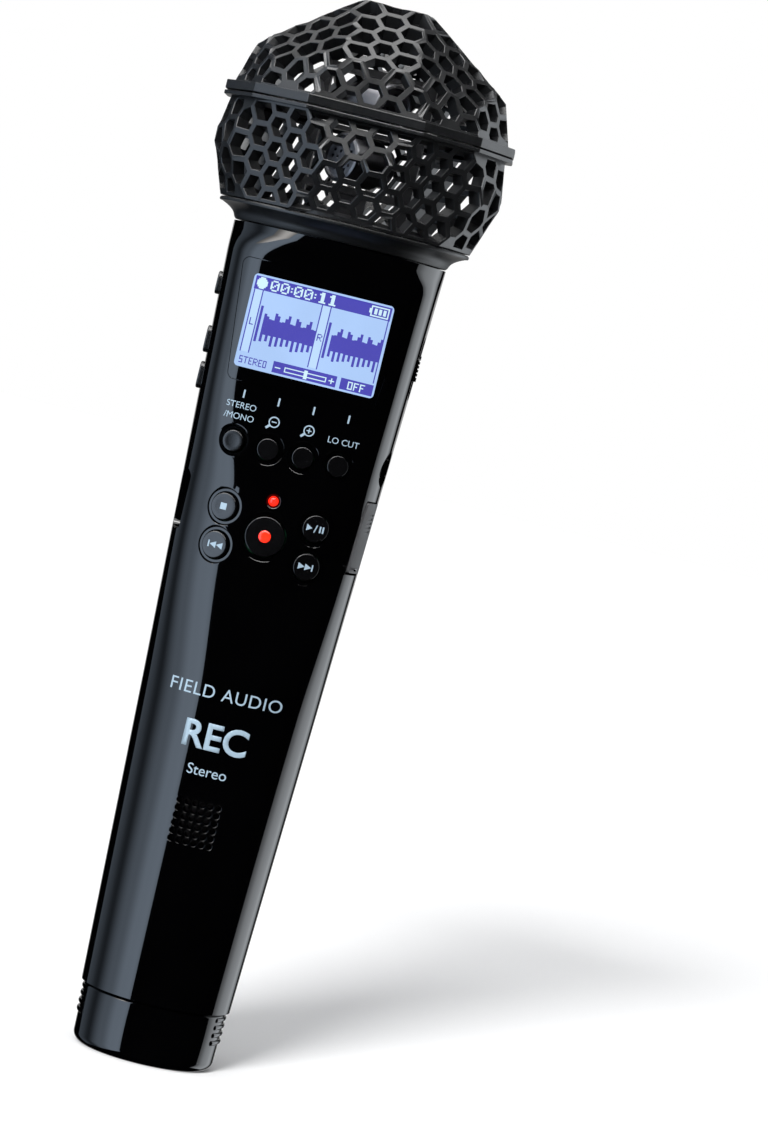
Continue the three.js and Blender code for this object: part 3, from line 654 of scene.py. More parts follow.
class RECORDER_OT_end_cap(bpy.types.Operator):
    """Build the pull-off end cap with its grip ridges"""

    bl_idname = "recorder.end_cap"
    bl_label = "End cap"

    def execute(self, context):
        top, radius, spigot, foot, base = CAP_TOP, 14.5, 12.2, 12.3, 13.4
        profile = [(0, 0), (foot, 0)] + arc(foot, 2.0, 2.0, -90, -3, 8)
        profile += [(radius, top - 0.55), (radius - 0.12, top - 0.3), (radius - 0.4, top)]
        profile += [(spigot, top), (spigot, top + 3.3), (spigot - 0.3, top + 3.5), (0, top + 3.5)]
        cap = turned("end_cap_skin", profile, 128)
        bore = rod("tool_bore", 7.9, 2, CLEAR, 64)
        carve(cap, [put(bore, UPRIGHT, 0, middle_mm("battery_1").y, 0)])
        ridges = []
        for z in (6.3, 7.9, 9.5, 11.0):
            swell = arc(radius - 0.25, z, 0.55, -80, 80, 6)
            loop = [(base, z - 0.5)] + swell + [(base, z + 0.5), (base, z - 0.5)]
            for side in (-14, 14):
                kept = block("keep", around(side, 6), (-6, 6), (0, 13))
                ridges.append(carve(turned("ridge", loop, 128), [kept], "INTERSECT"))
        cap = smooth(joined("end_cap_skin", [cap] + ridges), 40)
        finish(cap, "end_cap_body", gloss_black(), ["end_cap"])
        return {"FINISHED"}


class RECORDER_OT_collar(bpy.types.Operator):
    """Build the flaring neck collar"""

    bl_idname = "recorder.collar"
    bl_label = "Neck collar"

    def execute(self, context):
        low, high = low_mm("neck_collar"), high_mm("neck_collar")
        bottom, top, lip = HANDLE_TOP + 0.3, high.z, high.x
        bore, neck, steps = 14.5, 18.0, 8
        flare = [(RADIUS_TOP + 0.15, bottom + 0.35)]
        for t in [k / steps for k in range(1, steps + 1)]:
            out, up = (lip - RADIUS_TOP - 0.9) * t ** 1.7, 2.5 * t ** 0.8
            flare.append((RADIUS_TOP + 0.3 + out, bottom + 0.4 + up))
        profile = [(bore, low.z), (neck, low.z), (neck, bottom), (RADIUS_TOP - 0.15, bottom)] + flare
        profile += [(lip - 0.1, bottom + 3.0), (lip, bottom + 3.2), (lip, top - 0.25), (lip - 0.25, top)]
        profile += [(bore, top), (bore, low.z)]
        collar = smooth(turned("neck_collar_skin", profile, 128), 40)
        finish(collar, "recorder", collar_black(), ["neck_collar"])
        return {"FINISHED"}


# ---- honeycomb cages ----
RING_RADIUS = 28.2
RING_CORNERS = (23, 50, 80, 100, 130, 157)
FRONT_BACK = (0, 180)
SIDES = (90, -90)


def quarters(azimuth):
    return (azimuth, -azimuth, 180 - azimuth, azimuth - 180)


def reach(half_span):
    return RING_RADIUS * math.cos(math.radians(half_span))


def facets(rows):
    """Planes (normal, distance) from rows of azimuths, lift in degrees, reach and its height."""
    planes = []
    for azimuths, lift, distance, z in rows:
        for azimuth in azimuths:
            a, e = math.radians(azimuth), math.radians(lift)
            flat = Vector((math.sin(a), -math.cos(a), 0))
            normal = flat * math.cos(e) + Vector((0, 0, math.sin(e)))
            planes.append((normal, normal.dot(flat * distance + Vector((0, 0, z)))))
    return planes


def upper_facets(ring, shoulder, top):
    return facets([
        (FRONT_BACK, 12.5, reach(23), ring), (FRONT_BACK, 53.5, 24.1, shoulder),
        (quarters(37), 22, reach(13.5), ring), (quarters(45), 47, 22.6, shoulder),
        (quarters(65), 18, reach(15), ring), (SIDES, 17, reach(10), ring),
        (SIDES, 54, 25.2, shoulder)]) + [(Vector((0, 0, 1)), top)]


def lower_facets(ring, widest):
    return facets([
        (FRONT_BACK, 16.1, reach(23), ring), (FRONT_BACK, -24.1, 28.45, widest),
        (quarters(37), -7.2, reach(13.5), ring), (quarters(65), 12.6, reach(15), ring),
        (quarters(65), -22, 29.16, widest), (SIDES, 8.8, reach(10), ring),
        (SIDES, -19.5, 29.1, widest)])


def plane_corners(planes):
    """Corners of the body that the planes enclose."""
    found = []
    for i, (na, da) in enumerate(planes):
        for j in range(i + 1, len(planes)):
            nb, db = planes[j]
            for nc, dc in planes[j + 1:]:
                cross = nb.cross(nc)
                scale = na.dot(cross)
                if abs(scale) < 1e-6:
                    continue
                point = (cross * da + nc.cross(na) * db + na.cross(nb) * dc) / scale
                if all(n.dot(point) < d + 1e-4 for n, d in planes):
                    found.append(point)
    return found


def cell_seeds(planes, pitch):
    """Middles of the cells: a column grid on each facet, thinned where two facets' grids meet."""
    corners = plane_corners(planes)
    seeds = []
    for normal, distance in planes:
        around = [p for p in corners if abs(normal.dot(p) - distance) < 1e-3]
        if len(around) < 3 or abs(normal.z) > 0.999 and normal.z < 0:
            continue
        across = Vector((0, 0, 1)).cross(normal)
        across = across.normalized() if across.length > 0.1 else Vector((1, 0, 0))
        up = normal.cross(across)
        middle = sum(around, Vector()) / len(around)
        sideways = middle - across * middle.dot(across)
        start = sideways if abs(normal.x) < 0.2 or abs(normal.y) < 0.2 else middle
        for column in range(-7, 8):
            for row in range(-8, 9):
                point = start + across * column * pitch * math.sqrt(0.75)
                point = point + up * (row + 0.5 * (column % 2)) * pitch
                if any(n.dot(point) > d + 0.02 for n, d in planes):
                    continue
                if all((point - other).length > 0.74 * pitch for other in seeds):
                    seeds.append(point)
    return seeds


def surface_point(direction, centre, planes):
    steps = [(d - n.dot(centre)) / n.dot(direction) for n, d in planes if n.dot(direction) > 1e-6]
    return centre + direction * min(steps)


def cells_round(seeds, centre, planes):
    """The cell round each seed, as points on the facets: the dual of the seeds' convex hull."""
    mesh = bmesh.new()
    for seed in seeds:
        mesh.verts.new((seed - centre).normalized())
    mesh.verts.index_update()
    bmesh.ops.convex_hull(mesh, input=mesh.verts)
    bmesh.ops.triangulate(mesh, faces=mesh.faces)
    mesh.faces.index_update()
    mesh.normal_update()
    spots = {}
    for face in mesh.faces:
        outward = face.normal if face.normal.dot(face.calc_center_median()) > 0 else -face.normal
        spots[face.index] = surface_point(outward, centre, planes)
    cells = []
    for vertex in mesh.verts:
        axis = vertex.co.normalized()
        side = axis.orthogonal().normalized()
        other = axis.cross(side)
        turn = [(math.atan2((spots[f.index] - centre).dot(other), (spots[f.index] - centre).dot(side)),
                 f.index) for f in vertex.link_faces]
        cells.append([spots[index] for _, index in sorted(turn)])
    mesh.free()
    return cells


def settle(seeds, centre, planes):
    """Moves each seed to the middle of its cell, which evens out the cells along facets' edges."""
    far = 3
    moved = []
    for seed, cell in zip(seeds, cells_round(seeds, centre, planes)):
        middle = sum(cell, Vector()) / len(cell)
        inward = surface_point((middle - centre).normalized(), centre, planes)
        moved.append(seed if (middle - seed).length > far else inward)
    return moved


def weld(cells, reach_mm):
    """Gives corners that lie close together one shared place."""
    spots = []
    welded = []
    for cell in cells:
        ring = []
        for point in cell:
            near = next((s for s in spots if (s - point).length < reach_mm), None)
            if near is None:
                spots.append(point)
                near = point
            if not ring or ring[-1] is not near:
                ring.append(near)
        if len(ring) > 1 and ring[0] is ring[-1]:
            ring.pop()
        welded.append(ring)
    return welded


def edges_round(ring):
    return list(zip(ring, ring[1:] + ring[:1]))


def clipped(ring, z, above):
    """The part of a cell above or below a level, or nothing."""
    sign = 1 if above else -1
    kept = []
    for a, b in edges_round(ring):
        da, db = (a.z - z) * sign, (b.z - z) * sign
        if da >= 0:
            kept.append(a)
        if (da > 0 > db) or (da < 0 < db):
            kept.append(a.lerp(b, da / (da - db)))
    return kept


def inset_ring(ring, distance):
    """A convex cell's outline moved in by a distance, corner by corner, or nothing if it closes up."""
    shortest, narrowest, straightest = 1e-6, 0.45, 0.05
    middle = sum(ring, Vector()) / len(ring)
    normal = sum(((a - middle).cross(b - middle) for a, b in edges_round(ring)), Vector()).normalized()
    side = (ring[0] - middle).normalized()
    side = (side - normal * side.dot(normal)).normalized()
    other = normal.cross(side)
    flat = [((p - middle).dot(side), (p - middle).dot(other)) for p in ring]
    edges = []
    for (ax, ay), (bx, by) in edges_round(flat):
        length = math.hypot(bx - ax, by - ay)
        if length < shortest:
            return None
        nx, ny = (by - ay) / length, (ax - bx) / length
        edges.append((nx, ny, nx * ax + ny * ay - distance))
    if min(d for _, _, d in edges) < narrowest:
        return None
    points = []
    for (ax, ay, ad), (bx, by, bd) in zip(edges[-1:] + edges[:-1], edges):
        scale = ax * by - ay * bx
        if abs(scale) < straightest:
            return None
        x, y = (ad * by - bd * ay) / scale, (ax * bd - bx * ad) / scale
        points.append(middle + side * x + other * y)
    return points


def cage_mesh(name, planes, clips, centre):
    """A honeycomb shell: outer ribs with a small chamfer, cell walls, and the same net inside."""
    pitch, rib = sizes().cell_pitch / MM, sizes().rib_width / MM
    depth, chamfer, beyond, shared = sizes().cage_depth / MM, 0.08, 9, 0.75
    limits = [(Vector((0, 0, 1)), clips[1] + beyond), (Vector((0, 0, -1)), beyond - clips[0])]
    closed = planes + limits
    seeds = settle(cell_seeds(closed, pitch), centre, closed)
    mesh = bmesh.new()

    def deeper(point, by):
        return point - (point - centre).normalized() * by

    def outside(point):
        return surface_point((point - centre).normalized(), centre, planes)

    def face(points):
        mesh.faces.new([mesh.verts.new(p * MM) for p in points])

    def band(outer, inner):
        for (a, b), (c, d) in zip(edges_round(outer), edges_round(inner)):
            face([a, b, d, c])

    for cell in weld(cells_round(seeds, centre, closed), shared):
        ring = clipped(clipped(cell, clips[0], True), clips[1], False)
        ring = [p for k, p in enumerate(ring) if (p - ring[k - 1]).length > 0.02]
        if len(ring) < 3:
            continue
        under = [deeper(p, depth) for p in ring]
        for (a, b), (c, d) in zip(edges_round(ring), edges_round(under)):
            if any(abs(a.z - z) < 1e-4 and abs(b.z - z) < 1e-4 for z in clips):
                face([b, a, c, d])
        mouth = inset_ring(ring, rib / 2 - chamfer)
        throat = inset_ring(ring, rib / 2)
        if not mouth or not throat:
            face(ring)
            face(under[::-1])
            continue
        mouth = [outside(p) for p in mouth]
        throat = [deeper(outside(p), chamfer) for p in throat]
        floor = [deeper(p, depth - chamfer) for p in throat]
        band(ring, mouth)
        band(mouth, throat)
        band(throat, floor)
        band(floor, under)
    bmesh.ops.remove_doubles(mesh, verts=mesh.verts, dist=0.00001)
    bmesh.ops.recalc_face_normals(mesh, faces=mesh.faces)
    return mesh_piece(name, mesh)


def ring_band(name, radius, z0, z1):
    """The flat band round a cage's open edge, with the ring's corners, chamfered."""
    bore, past = 25.0, 5
    corners = [(radius * math.sin(math.radians(a)), -radius * math.cos(math.radians(a)))
               for a in [*RING_CORNERS, *[360 - a for a in reversed(RING_CORNERS)]]]
    band = carve(prism(name, corners, z0, z1), [rod("tool_band", bore, z0 - past, z1 + past, 64)])
    return soften(band, 0.16, 2, 25)


class RECORDER_OT_cages(bpy.types.Operator):
    """Build the two honeycomb cages of the grille"""

    bl_idname = "recorder.cages"
    bl_label = "Grille cages"

    def execute(self, context):
        low, high = low_mm("upper_grille"), high_mm("upper_grille")
        flange = high.x / math.cos(math.radians(10)) - 0.05
        ring = low.z + 1.8
        planes = upper_facets(ring, low.z + 10.3, high.z)
        net = cage_mesh("upper_net", planes, (ring - 0.15, high.z + 5), Vector((0, 0, 188)))
        upper = joined("upper_grille_net", [net, ring_band("upper_band", flange, low.z, ring)])
        finish(upper, "recorder", grille_black(), ["upper_grille"])
        low, high = low_mm("lower_grille"), high_mm("lower_grille")
        ring = high.z - 0.8
        planes = lower_facets(ring, low.z + 10.7)
        net = cage_mesh("lower_net", planes, (low.z, ring + 0.1), Vector((0, 0, 180)))
        band = ring_band("lower_band", flange, ring, high.z)
        bore, rim, rise = 22.4, 24.6, low.z + 0.7
        foot = turned("lower_foot", [
            (bore, low.z), (rim, low.z), (rim, rise), (bore, rise), (bore, low.z)])
        lower = joined("lower_grille_net", [net, band, foot])
        finish(lower, "recorder", grille_black(), ["lower_grille"])
        return {"FINISHED"}


# ---- display ----
GLYPHS = {
    "0": "01110 10001 10011 10101 11001 10001 01110",
    "1": "00110 01110 00110 00110 00110 00110 01111",
    ":": "0 0 1 0 1 0 0",
    "L": "1000 1000 1000 1000 1000 1000 1111",
    "R": "11110 10001 10001 11110 10100 10010 10001",
    "S": "1111 1000 1000 1111 0001 0001 1111",
    "T": "11111 00100 00100 00100 00100 00100 00100",
    "E": "1111 1000 1000 1110 1000 1000 1111",
    "O": "1111 1001 1001 1001 1001 1001 1111",
    "F": "1111 1000 1000 1110 1000 1000 1000",
    "+": "00000 00100 00100 11111 00100 00100 00000",
    "-": "00000 00000 00000 11111 00000 00000 00000",
}


class Screen:
    """Collects rectangles over the display's area, in display units from its top left corner."""

    def __init__(self):
        self.half, self.rise = SCREEN_SIZE[0] / 2, SCREEN_SIZE[1] / 2
        self.rects = []

    def rect(self, x0, y0, x1, y1):
        self.rects.append((x0 - self.half, self.rise - y1, x1 - self.half, self.rise - y0))

    def frame(self, x0, y0, x1, y1, line):
        """The four lines of an open box."""
        self.rect(x0, y0, x1, y0 + line)
        self.rect(x0, y1 - line, x1, y1)
        self.rect(x0, y0, x0 + line, y1)
        self.rect(x1 - line, y0, x1, y1)

    def text(self, words, x, y, dot, wide=1.0):
        for letter in words:
            rows = GLYPHS[letter].split()
            for r, row in enumerate(rows):
                for c, mark in enumerate(row):
                    if mark == "1":
                        left = x + c * dot * wide
                        self.rect(left, y + r * dot, left + dot * wide * 1.02, y + (r + 1) * dot)
            x += (len(rows[0]) + 1) * dot * wide

    def piece(self, name, lift):
        """One thin plate for each rectangle, at a lift over the lit pane."""
        thick = 0.02
        middle = middle_mm("display_module").z
        mesh = bmesh.new()
        for x0, z0, x1, z1 in self.rects:
            corners = [mesh.verts.new(Vector((x, z + middle, lift - thick)) * MM)
                       for x, z in ((x0, z0), (x1, z0), (x1, z1), (x0, z1))]
            out = bmesh.ops.extrude_face_region(mesh, geom=[mesh.faces.new(corners)])
            tops = [v for v in out["geom"] if isinstance(v, bmesh.types.BMVert)]
            bmesh.ops.translate(mesh, vec=Vector((0, 0, thick * MM)), verts=tops)
        return on_screen(mesh_piece(name, mesh))


def on_screen(piece):
    """Lays a mesh made over (x, z) on the display's flat face, just under the window's edge."""
    for vertex in piece.data.vertices:
        x, up, out = (c / MM for c in vertex.co)
        vertex.co = Vector((x, front_y(SCREEN_SIZE[0] / 2, up) + SCREEN_SINK - out, up)) * MM
    make_active(piece)
    bpy.ops.object.mode_set(mode="EDIT")
    close_mesh()
    return piece


def wave_reach(k, shift):
    """How far one bar of the sound trace reaches up and down: uneven teeth on a solid middle."""
    uneven = (k * 0.618 + shift) % 1
    rise = 1.25 + (1.1 if (k + int(shift)) % 4 < 2 else 0.2) * (0.6 + uneven)
    fall = 1.5 + (2.1 if k % 2 == 0 else 0.25) * (0.6 + 0.5 * ((k * 0.382 + shift) % 1))
    return rise, fall


def dark_figures():
    """The header, the columns' lines, the level marks, the two sound traces and the footer."""
    width, height = SCREEN_SIZE
    screen = Screen()
    edge, line, header, right_side = 0.38, 0.22, 3.0, width - 0.62
    foot, footer = height - 2.95, height - 2.6
    screen.rect(edge, edge, width - edge, header)
    columns = ((0.62, 2.3), (14.2, 15.95))
    for x in (*columns[0], *columns[1], right_side):
        screen.rect(x - line / 2, header, x + line / 2, foot)
    bars, middle = 20, 9.6
    for left, right, shift in ((columns[0][1], columns[1][0], 0.4), (columns[1][1], right_side, 2.1)):
        screen.rect(left + 0.35, 5.9, left + 0.85, 13.0)
        start = left + 1.35
        step = (right - start) / bars
        for k in range(bars):
            rise, fall = wave_reach(k, shift)
            screen.rect(start + k * step, middle - rise, start + (k + 1) * step, middle + fall)
    screen.text("L", 1.05, 8.6, 0.2)
    screen.text("R", 14.6, 8.6, 0.2)
    screen.text("STEREO", 0.8, height - 2.15, 0.2, 0.88)
    for x0, x1 in ((7.55, 20.3), (21.1, width - edge)):
        screen.rect(x0, footer, x1, height - edge)
    return screen.piece("screen_dark", 0.03)


def pale_columns():
    screen = Screen()
    for x0, x1 in ((0.74, 2.18), (14.32, 15.83)):
        screen.rect(x0, 3.1, x1, SCREEN_SIZE[1] - 3.05)
    return screen.piece("screen_columns", 0.015)


def light_figures():
    """The record mark, the counter, the battery, the level slider and the footer's word."""
    screen = Screen()
    screen.text("00:00:11", 3.5, 0.62, 0.3, 1.12)
    middle, half = 1.65, 1.25
    for x0, x1, less in ((0.75, 2.85, 0.75), (1.0, 2.6, 0.42), (1.3, 2.3, 0.12)):
        screen.rect(x0, middle - half + less, x1, middle + half - less)
    left, top = 23.3, 0.68
    screen.frame(left + 0.3, top, left + 3.9, top + 2.1, 0.26)
    screen.rect(left, top + 0.6, left + 0.3, top + 1.5)
    for k in range(3):
        cell = left + 1.0 + k * 0.88
        screen.rect(cell, top + 0.48, cell + 0.58, top + 1.62)
    base, dot = SCREEN_SIZE[1] - 2.2, 0.22
    screen.text("-", 8.0, base, dot)
    screen.text("+", 18.8, base, dot)
    screen.frame(9.9, base + 0.3, 18.3, base + 1.3, 0.2)
    screen.rect(13.8, base - 0.05, 14.5, base + 1.65)
    screen.text("OFF", 22.6, base, dot, 1.1)
    return screen.piece("screen_light", 0.05)


def brighter(colour, share, more):
    return [min(c * share + more, 1.0) for c in colour]


class RECORDER_OT_display(bpy.types.Operator):
    """Build the window, the lit screen and its figures"""

    bl_idname = "recorder.display"
    bl_label = "Display"

    def execute(self, context):
        tints = colours()
        middle = middle_mm("display_module").z

        def opening(grow):
            half, rise, corner = SCREEN_SIZE[0] / 2 + grow, SCREEN_SIZE[1] / 2 + grow, 0.8
            return rounded_outline(half, half, middle - rise, middle + rise, corner)

        window = skin_slice("display_window_pane", window_frame(0.0), -0.06, 1.2)
        carve(window, [facing_prism(opening(0), FRONT)])
        glass = moulded("window_black", tints.gloss, 0.03, 200.0, 0.000003, 0.2, strength=0.1)
        finish(smooth(window), "recorder", glass, ["display_window"])
        layers = (
            (on_screen(prism("screen_pane", opening(0.6), -0.7, 0.0)), "display_blue", tints.screen_light),
            (dark_figures(), "display_indigo", tints.screen_dark),
            (pale_columns(), "display_column", brighter(tints.screen_light, 1.08, 0.05)),
            (light_figures(), "display_pale", brighter(tints.screen_light, 1.25, 0.12)))
        for layer, material, colour in layers:
            finish(layer, "recorder", lit(material, colour, 1.0))
        return {"FINISHED"}


# ---- keys ----
def key_cap(name, x, z, radius, dish):
    """A round key cap with a rounded edge and a slightly dished top."""
    top, curve, root = KEY_PROUD, 0.22, -1.9
    dip = [(0, top - dish), (radius * 0.3, top - dish * 0.93), (radius * 0.6, top - dish * 0.6)]
    edge = rounded_edge(curve, lambda across, up: (radius - curve + across, top - curve + up))
    cap = turned(name, dip + edge + [(radius, root), (0, root)], 64)
    return smooth(put_on_front(cap, x, z), 40)


def outline_print(name, outlines, x, z, lift):
    """Flat marks from outlines round (0, 0), stood at a lift over the handle's front."""
    marks = joined(name, [prism(name, outline, -0.05, 0.0) for outline in outlines])
    marks.data.transform(Matrix.Translation((0, 0, lift * MM)))
    return put_on_front(marks, x, z)


def triangle(x, width, height):
    return [(x, -height / 2), (x + width, 0), (x, height / 2)]


def bar(x, width, height):
    return [(x, -height / 2), (x + width, -height / 2), (x + width, height / 2), (x, height / 2)]


def flipped(outline):
    return [(-x, y) for x, y in reversed(outline)]


class RECORDER_OT_keys(bpy.types.Operator):
    """Build the round keys on the front and their icons"""

    bl_idname = "recorder.keys"
    bl_label = "Front keys"

    def execute(self, context):
        high = 1.3
        forward = [triangle(-1.75, 1.35, high), triangle(-0.35, 1.35, high), bar(1.05, 0.28, high)]
        slash = [(-0.35, -0.75), (-0.12, -0.75), (0.3, 0.75), (0.07, 0.75)]
        icons = {
            "stop_button": [bar(-0.65, high, high)],
            "forward_button": forward,
            "rewind_button": [flipped(o) for o in forward],
            "play_button": [triangle(-1.9, 1.2, high), slash, bar(0.75, 0.32, high), bar(1.35, 0.32, high)],
        }
        for name, x, z, radius, _ in key_places():
            dish = 0.05 if radius < 3.5 else 0.12
            cap = key_cap(f"{name}_cap", x, z, radius, dish)
            finish(cap, f"{name}_body", key_black(), [name])
            if name in icons:
                mark = outline_print(f"{name}_icon", icons[name], x, z, KEY_PROUD - dish + 0.04)
                finish(mark, f"{name}_body", print_grey())
        return {"FINISHED"}


class RECORDER_OT_lamps(bpy.types.Operator):
    """Build the record lamp and the red dome of the record key"""

    bl_idname = "recorder.lamps"
    bl_label = "Red lamps"

    def execute(self, context):
        glow = colours().lamp
        lens = arc(0, -0.9, 0.98, 90, 0, 8) + [(0.98, -2), (0, -2)]
        lens = put_on_front(turned("record_light_lens", lens, 32), 0, middle_mm("record_light").z)
        red = lit("lamp_red", glow, 1.6, 0.1, (0.4, 0.0, 0.0))
        finish(smooth(lens, 50), "recorder", red, ["record_light"])
        dome = [(0, 0.55), (0.6, 0.5), (1.1, 0.33), (1.4, 0.05), (1.5, -0.25), (1.5, -0.8), (0, -0.8)]
        dome = put_on_front(turned("record_lens_dome", dome, 48), 0, middle_mm("record_lens").z)
        red = lit("lamp_red_dome", glow, 1.0, 0.2, (0.5, 0.01, 0.0))
        finish(smooth(dome, 50), "record_button_body", red, ["record_lens"])
        return {"FINISHED"}


class RECORDER_OT_side_keys(bpy.types.Operator):
    """Build the menu and volume keys on the left and the slide switch on the right"""

    bl_idname = "recorder.side_keys"
    bl_label = "Side keys"

    def execute(self, context):
        for name in SIDE_KEYS:
            key = side_bar(f"{name}_cap", -1, middle_mm(name), half_height(name) - 0.8, 1.5, 16.4,
                           -low_mm(name).x, 10)
            soften(key, 0.3, 3, 50)
            finish(smooth(key, 40), f"{name}_body", side_black(), [name])
        spot, inner, outer = middle_mm("power_switch"), low_mm("power_switch").x, high_mm("power_switch").x
        knob = side_bar("power_switch_knob", 1, spot, 2.6, 1.45, outer - 1.6, outer, 8)
        spacing, half_groove, deep = 0.8, 0.14, 0.22
        heights = [spot.z + k * spacing for k in range(-2, 3)]
        carve(knob, [block("groove", (outer - deep, outer + 1), around(spot.y, 3), around(z, half_groove))
                     for z in heights])
        neck = block("neck", (inner, outer - 1.4), around(spot.y, 0.65), around(spot.z, 1.2))
        knob = smooth(joined("power_switch_knob", [knob, neck]), 40)
        finish(knob, "power_switch_body", side_black(), ["power_switch"])
        return {"FINISHED"}


class RECORDER_OT_sockets(bpy.types.Operator):
    """Build the charging socket, the jack, the card cover and the screws"""

    bl_idname = "recorder.sockets"
    bl_label = "Sockets and cover"

    def execute(self, context):
        self.add_socket()
        self.add_jack()
        self.add_card_cover()
        self.add_screws()
        return {"FINISHED"}

    def add_socket(self):
        """The charging socket: a rounded metal shell with a tongue in it."""
        spot, inner = middle_mm("usb_socket"), high_mm("usb_socket").x
        mouth = side_x(spot.y, spot.z) - PORT_DEPTH
        shell = side_bar("usb_socket_shell", -1, spot, 4.5, 1.6, -inner, mouth, 8)
        carve(shell, [side_bar("tool", -1, spot, 4.2, 1.3, -inner + 0.8, CLEAR, 8)])
        tongue = block("tongue", (0.9 - mouth, inner - 0.6), around(spot.y, 0.35), around(spot.z, 3.2))
        metal = moulded("contact_metal", (0.55, 0.55, 0.56), 0.25, 1500.0, 0.00001, 0.08, 1.0)
        shell = smooth(joined("usb_socket_shell", [shell, tongue]), 40)
        finish(shell, "recorder", metal, ["usb_socket"])

    def add_jack(self):
        """The line-out jack: a barrel with a rounded face and a blind bore."""
        spot, low = middle_mm("line_out_jack"), low_mm("line_out_jack")
        face = side_x(low.y, spot.z) - 0.1
        barrel, bore, floor = 3.4, 1.8, low.x + 1.5
        profile = [(0, low.x), (barrel, low.x), (barrel, face - 0.3), (3.1, face), (2.3, face),
                   (1.95, face - 0.35), (bore, face - 0.8), (bore, floor), (0, floor)]
        jack = put(turned("line_out_barrel", profile, 64), RIGHT, 0, spot.y, spot.z)
        finish(smooth(jack, 40), "recorder", side_black(), ["line_out_jack"])

    def add_card_cover(self):
        """The card cover: a slice of the handle's side with grip grooves."""
        low, high, spot = low_mm("card_cover"), high_mm("card_cover"), middle_mm("card_cover")
        half = (high.y - low.y) / 2
        outline = [(spot.y + u, v) for u, v in rounded_outline(half, half, low.z, high.z, 0.5, 4)]
        cover = skin_slice("card_cover_lid", outline, -0.22, 1.4, RIGHT)
        left, right, wide = spot.y - 1.4, spot.y + 1.4, 0.4
        grips = []
        for bottom in [spot.z + 1.2 + k * 0.85 for k in range(5)]:
            groove = [(left, bottom), (right, bottom), (right, bottom + wide), (left, bottom + wide)]
            grips.append(skin_slice("grip", groove, -1.0, -0.05, RIGHT))
        carve(cover, grips)
        grey = moulded("cover_grey", (0.035, 0.035, 0.037), 0.5, 2600.0, 0.00003, 0.15)
        finish(smooth(cover, 40), "card_cover_body", grey, ["card_cover"])

    def add_screws(self):
        """The case screws: turned heads with a cross recess."""
        steel = moulded("screw_black", (0.05, 0.05, 0.055), 0.35, 1200.0, 0.00001, 0.15, 1.0)
        shank, head, long, half_slot = 0.9, 1.9, (-1.1, 1.1), (-0.22, 0.22)
        for name in CASE_SCREWS:
            bottom, top, spot = low_mm(name).y, high_mm(name).y, middle_mm(name)
            profile = [(0, bottom), (shank, bottom), (shank, top - 1.1), (head, top - 1.1),
                       (head, top - 0.35), (1.5, top - 0.08), (0, top)]
            screw = turned(f"{name}_head", profile, 40)
            for arm in ((long, half_slot), (half_slot, long)):
                carve(screw, [block("arm", *arm, (top - 0.6, top + 1))])
            screw = smooth(put(screw, BACK, spot.x, 0, spot.z), 40)
            finish(screw, "recorder", steel, [name])


class RECORDER_OT_capsules(bpy.types.Operator):
    """Build the two microphone capsules with their vented fronts"""

    bl_idname = "recorder.capsules"
    bl_label = "Microphone capsules"

    def execute(self, context):
        metal = moulded(
            "capsule_metal", (0.16, 0.16, 0.17), 0.34, 700.0, 0.00001, 0.1, 1.0, stretch=(1, 1, 8))
        back, face, radius = 4.0, 5.2, 5
        profile = [(0, -6), (3.8, -6), (back, -5.8), (back, -3), (radius, -2.9), (radius, face),
                   (4.8, 5.6), (4.3, 5.8), (4.1, face), (0, face)]
        for name, azimuth in (("capsule_left", -45), ("capsule_right", 45)):
            body = turned(f"{name}_body_shell", profile, 64)
            holes = []
            for ring, count in ((1.3, 6), (2.7, 12)):
                for a in [math.tau * k / count for k in range(count)]:
                    hole = rod("hole", 0.36, 4.4, 7, 10)
                    holes.append(put(hole, UPRIGHT, ring * math.cos(a), ring * math.sin(a)))
            carve(body, holes)
            aim = Matrix.Rotation(math.radians(azimuth), 4, "Z") @ FRONT
            body = smooth(put(body, aim, 0, 0, middle_mm(name).z), 40)
            finish(body, "recorder", metal, [name])
        return {"FINISHED"}


# ---- printed marks ----
def lay_print(piece):
    """Lays flat marks made over (x, z) onto the handle's front, cut into strips that follow it."""
    strip, ink = 0.7, 0.05
    lift = sizes().print_lift / MM
    make_active(piece)
    bpy.ops.object.mode_set(mode="EDIT")
    xs = [v.co.x / MM for v in piece.data.vertices]
    x = math.floor(min(xs))
    while x < max(xs):
        bpy.ops.mesh.select_all(action="SELECT")
        bpy.ops.mesh.bisect(plane_co=(x * MM, 0, 0), plane_no=(1, 0, 0))
        x += strip
    bpy.ops.object.mode_set(mode="OBJECT")
    for vertex in piece.data.vertices:
        vx, vz = vertex.co.x / MM, vertex.co.z / MM
        vertex.co.y = (front_y(vx, vz) - lift) * MM
    thick = piece.modifiers.new("thick", "SOLIDIFY")
    thick.thickness = ink * MM
    thick.offset = -1.0
    make_active(piece)
    bpy.ops.object.modifier_apply(modifier=thick.name)
    return piece


def lettering(name, words, size, x, z, spacing=1.0, bold=0.0):
    """Letters over (x, z), centred, before they are laid on the handle."""
    clear_selection()
    bpy.ops.object.text_add()
    text = bpy.context.active_object
    text.data.body = words
    text.data.size = size * MM
    text.data.align_x = "CENTER"
    text.data.align_y = "CENTER"
    text.data.space_character = spacing
    text.data.resolution_u = 5
    text.data.offset = bold * MM
    bpy.ops.object.convert(target="MESH")
    piece = name_piece(name)
    piece.data.transform(Matrix.Translation(Vector((x, 0, z)) * MM) @ FRONT)
    return piece


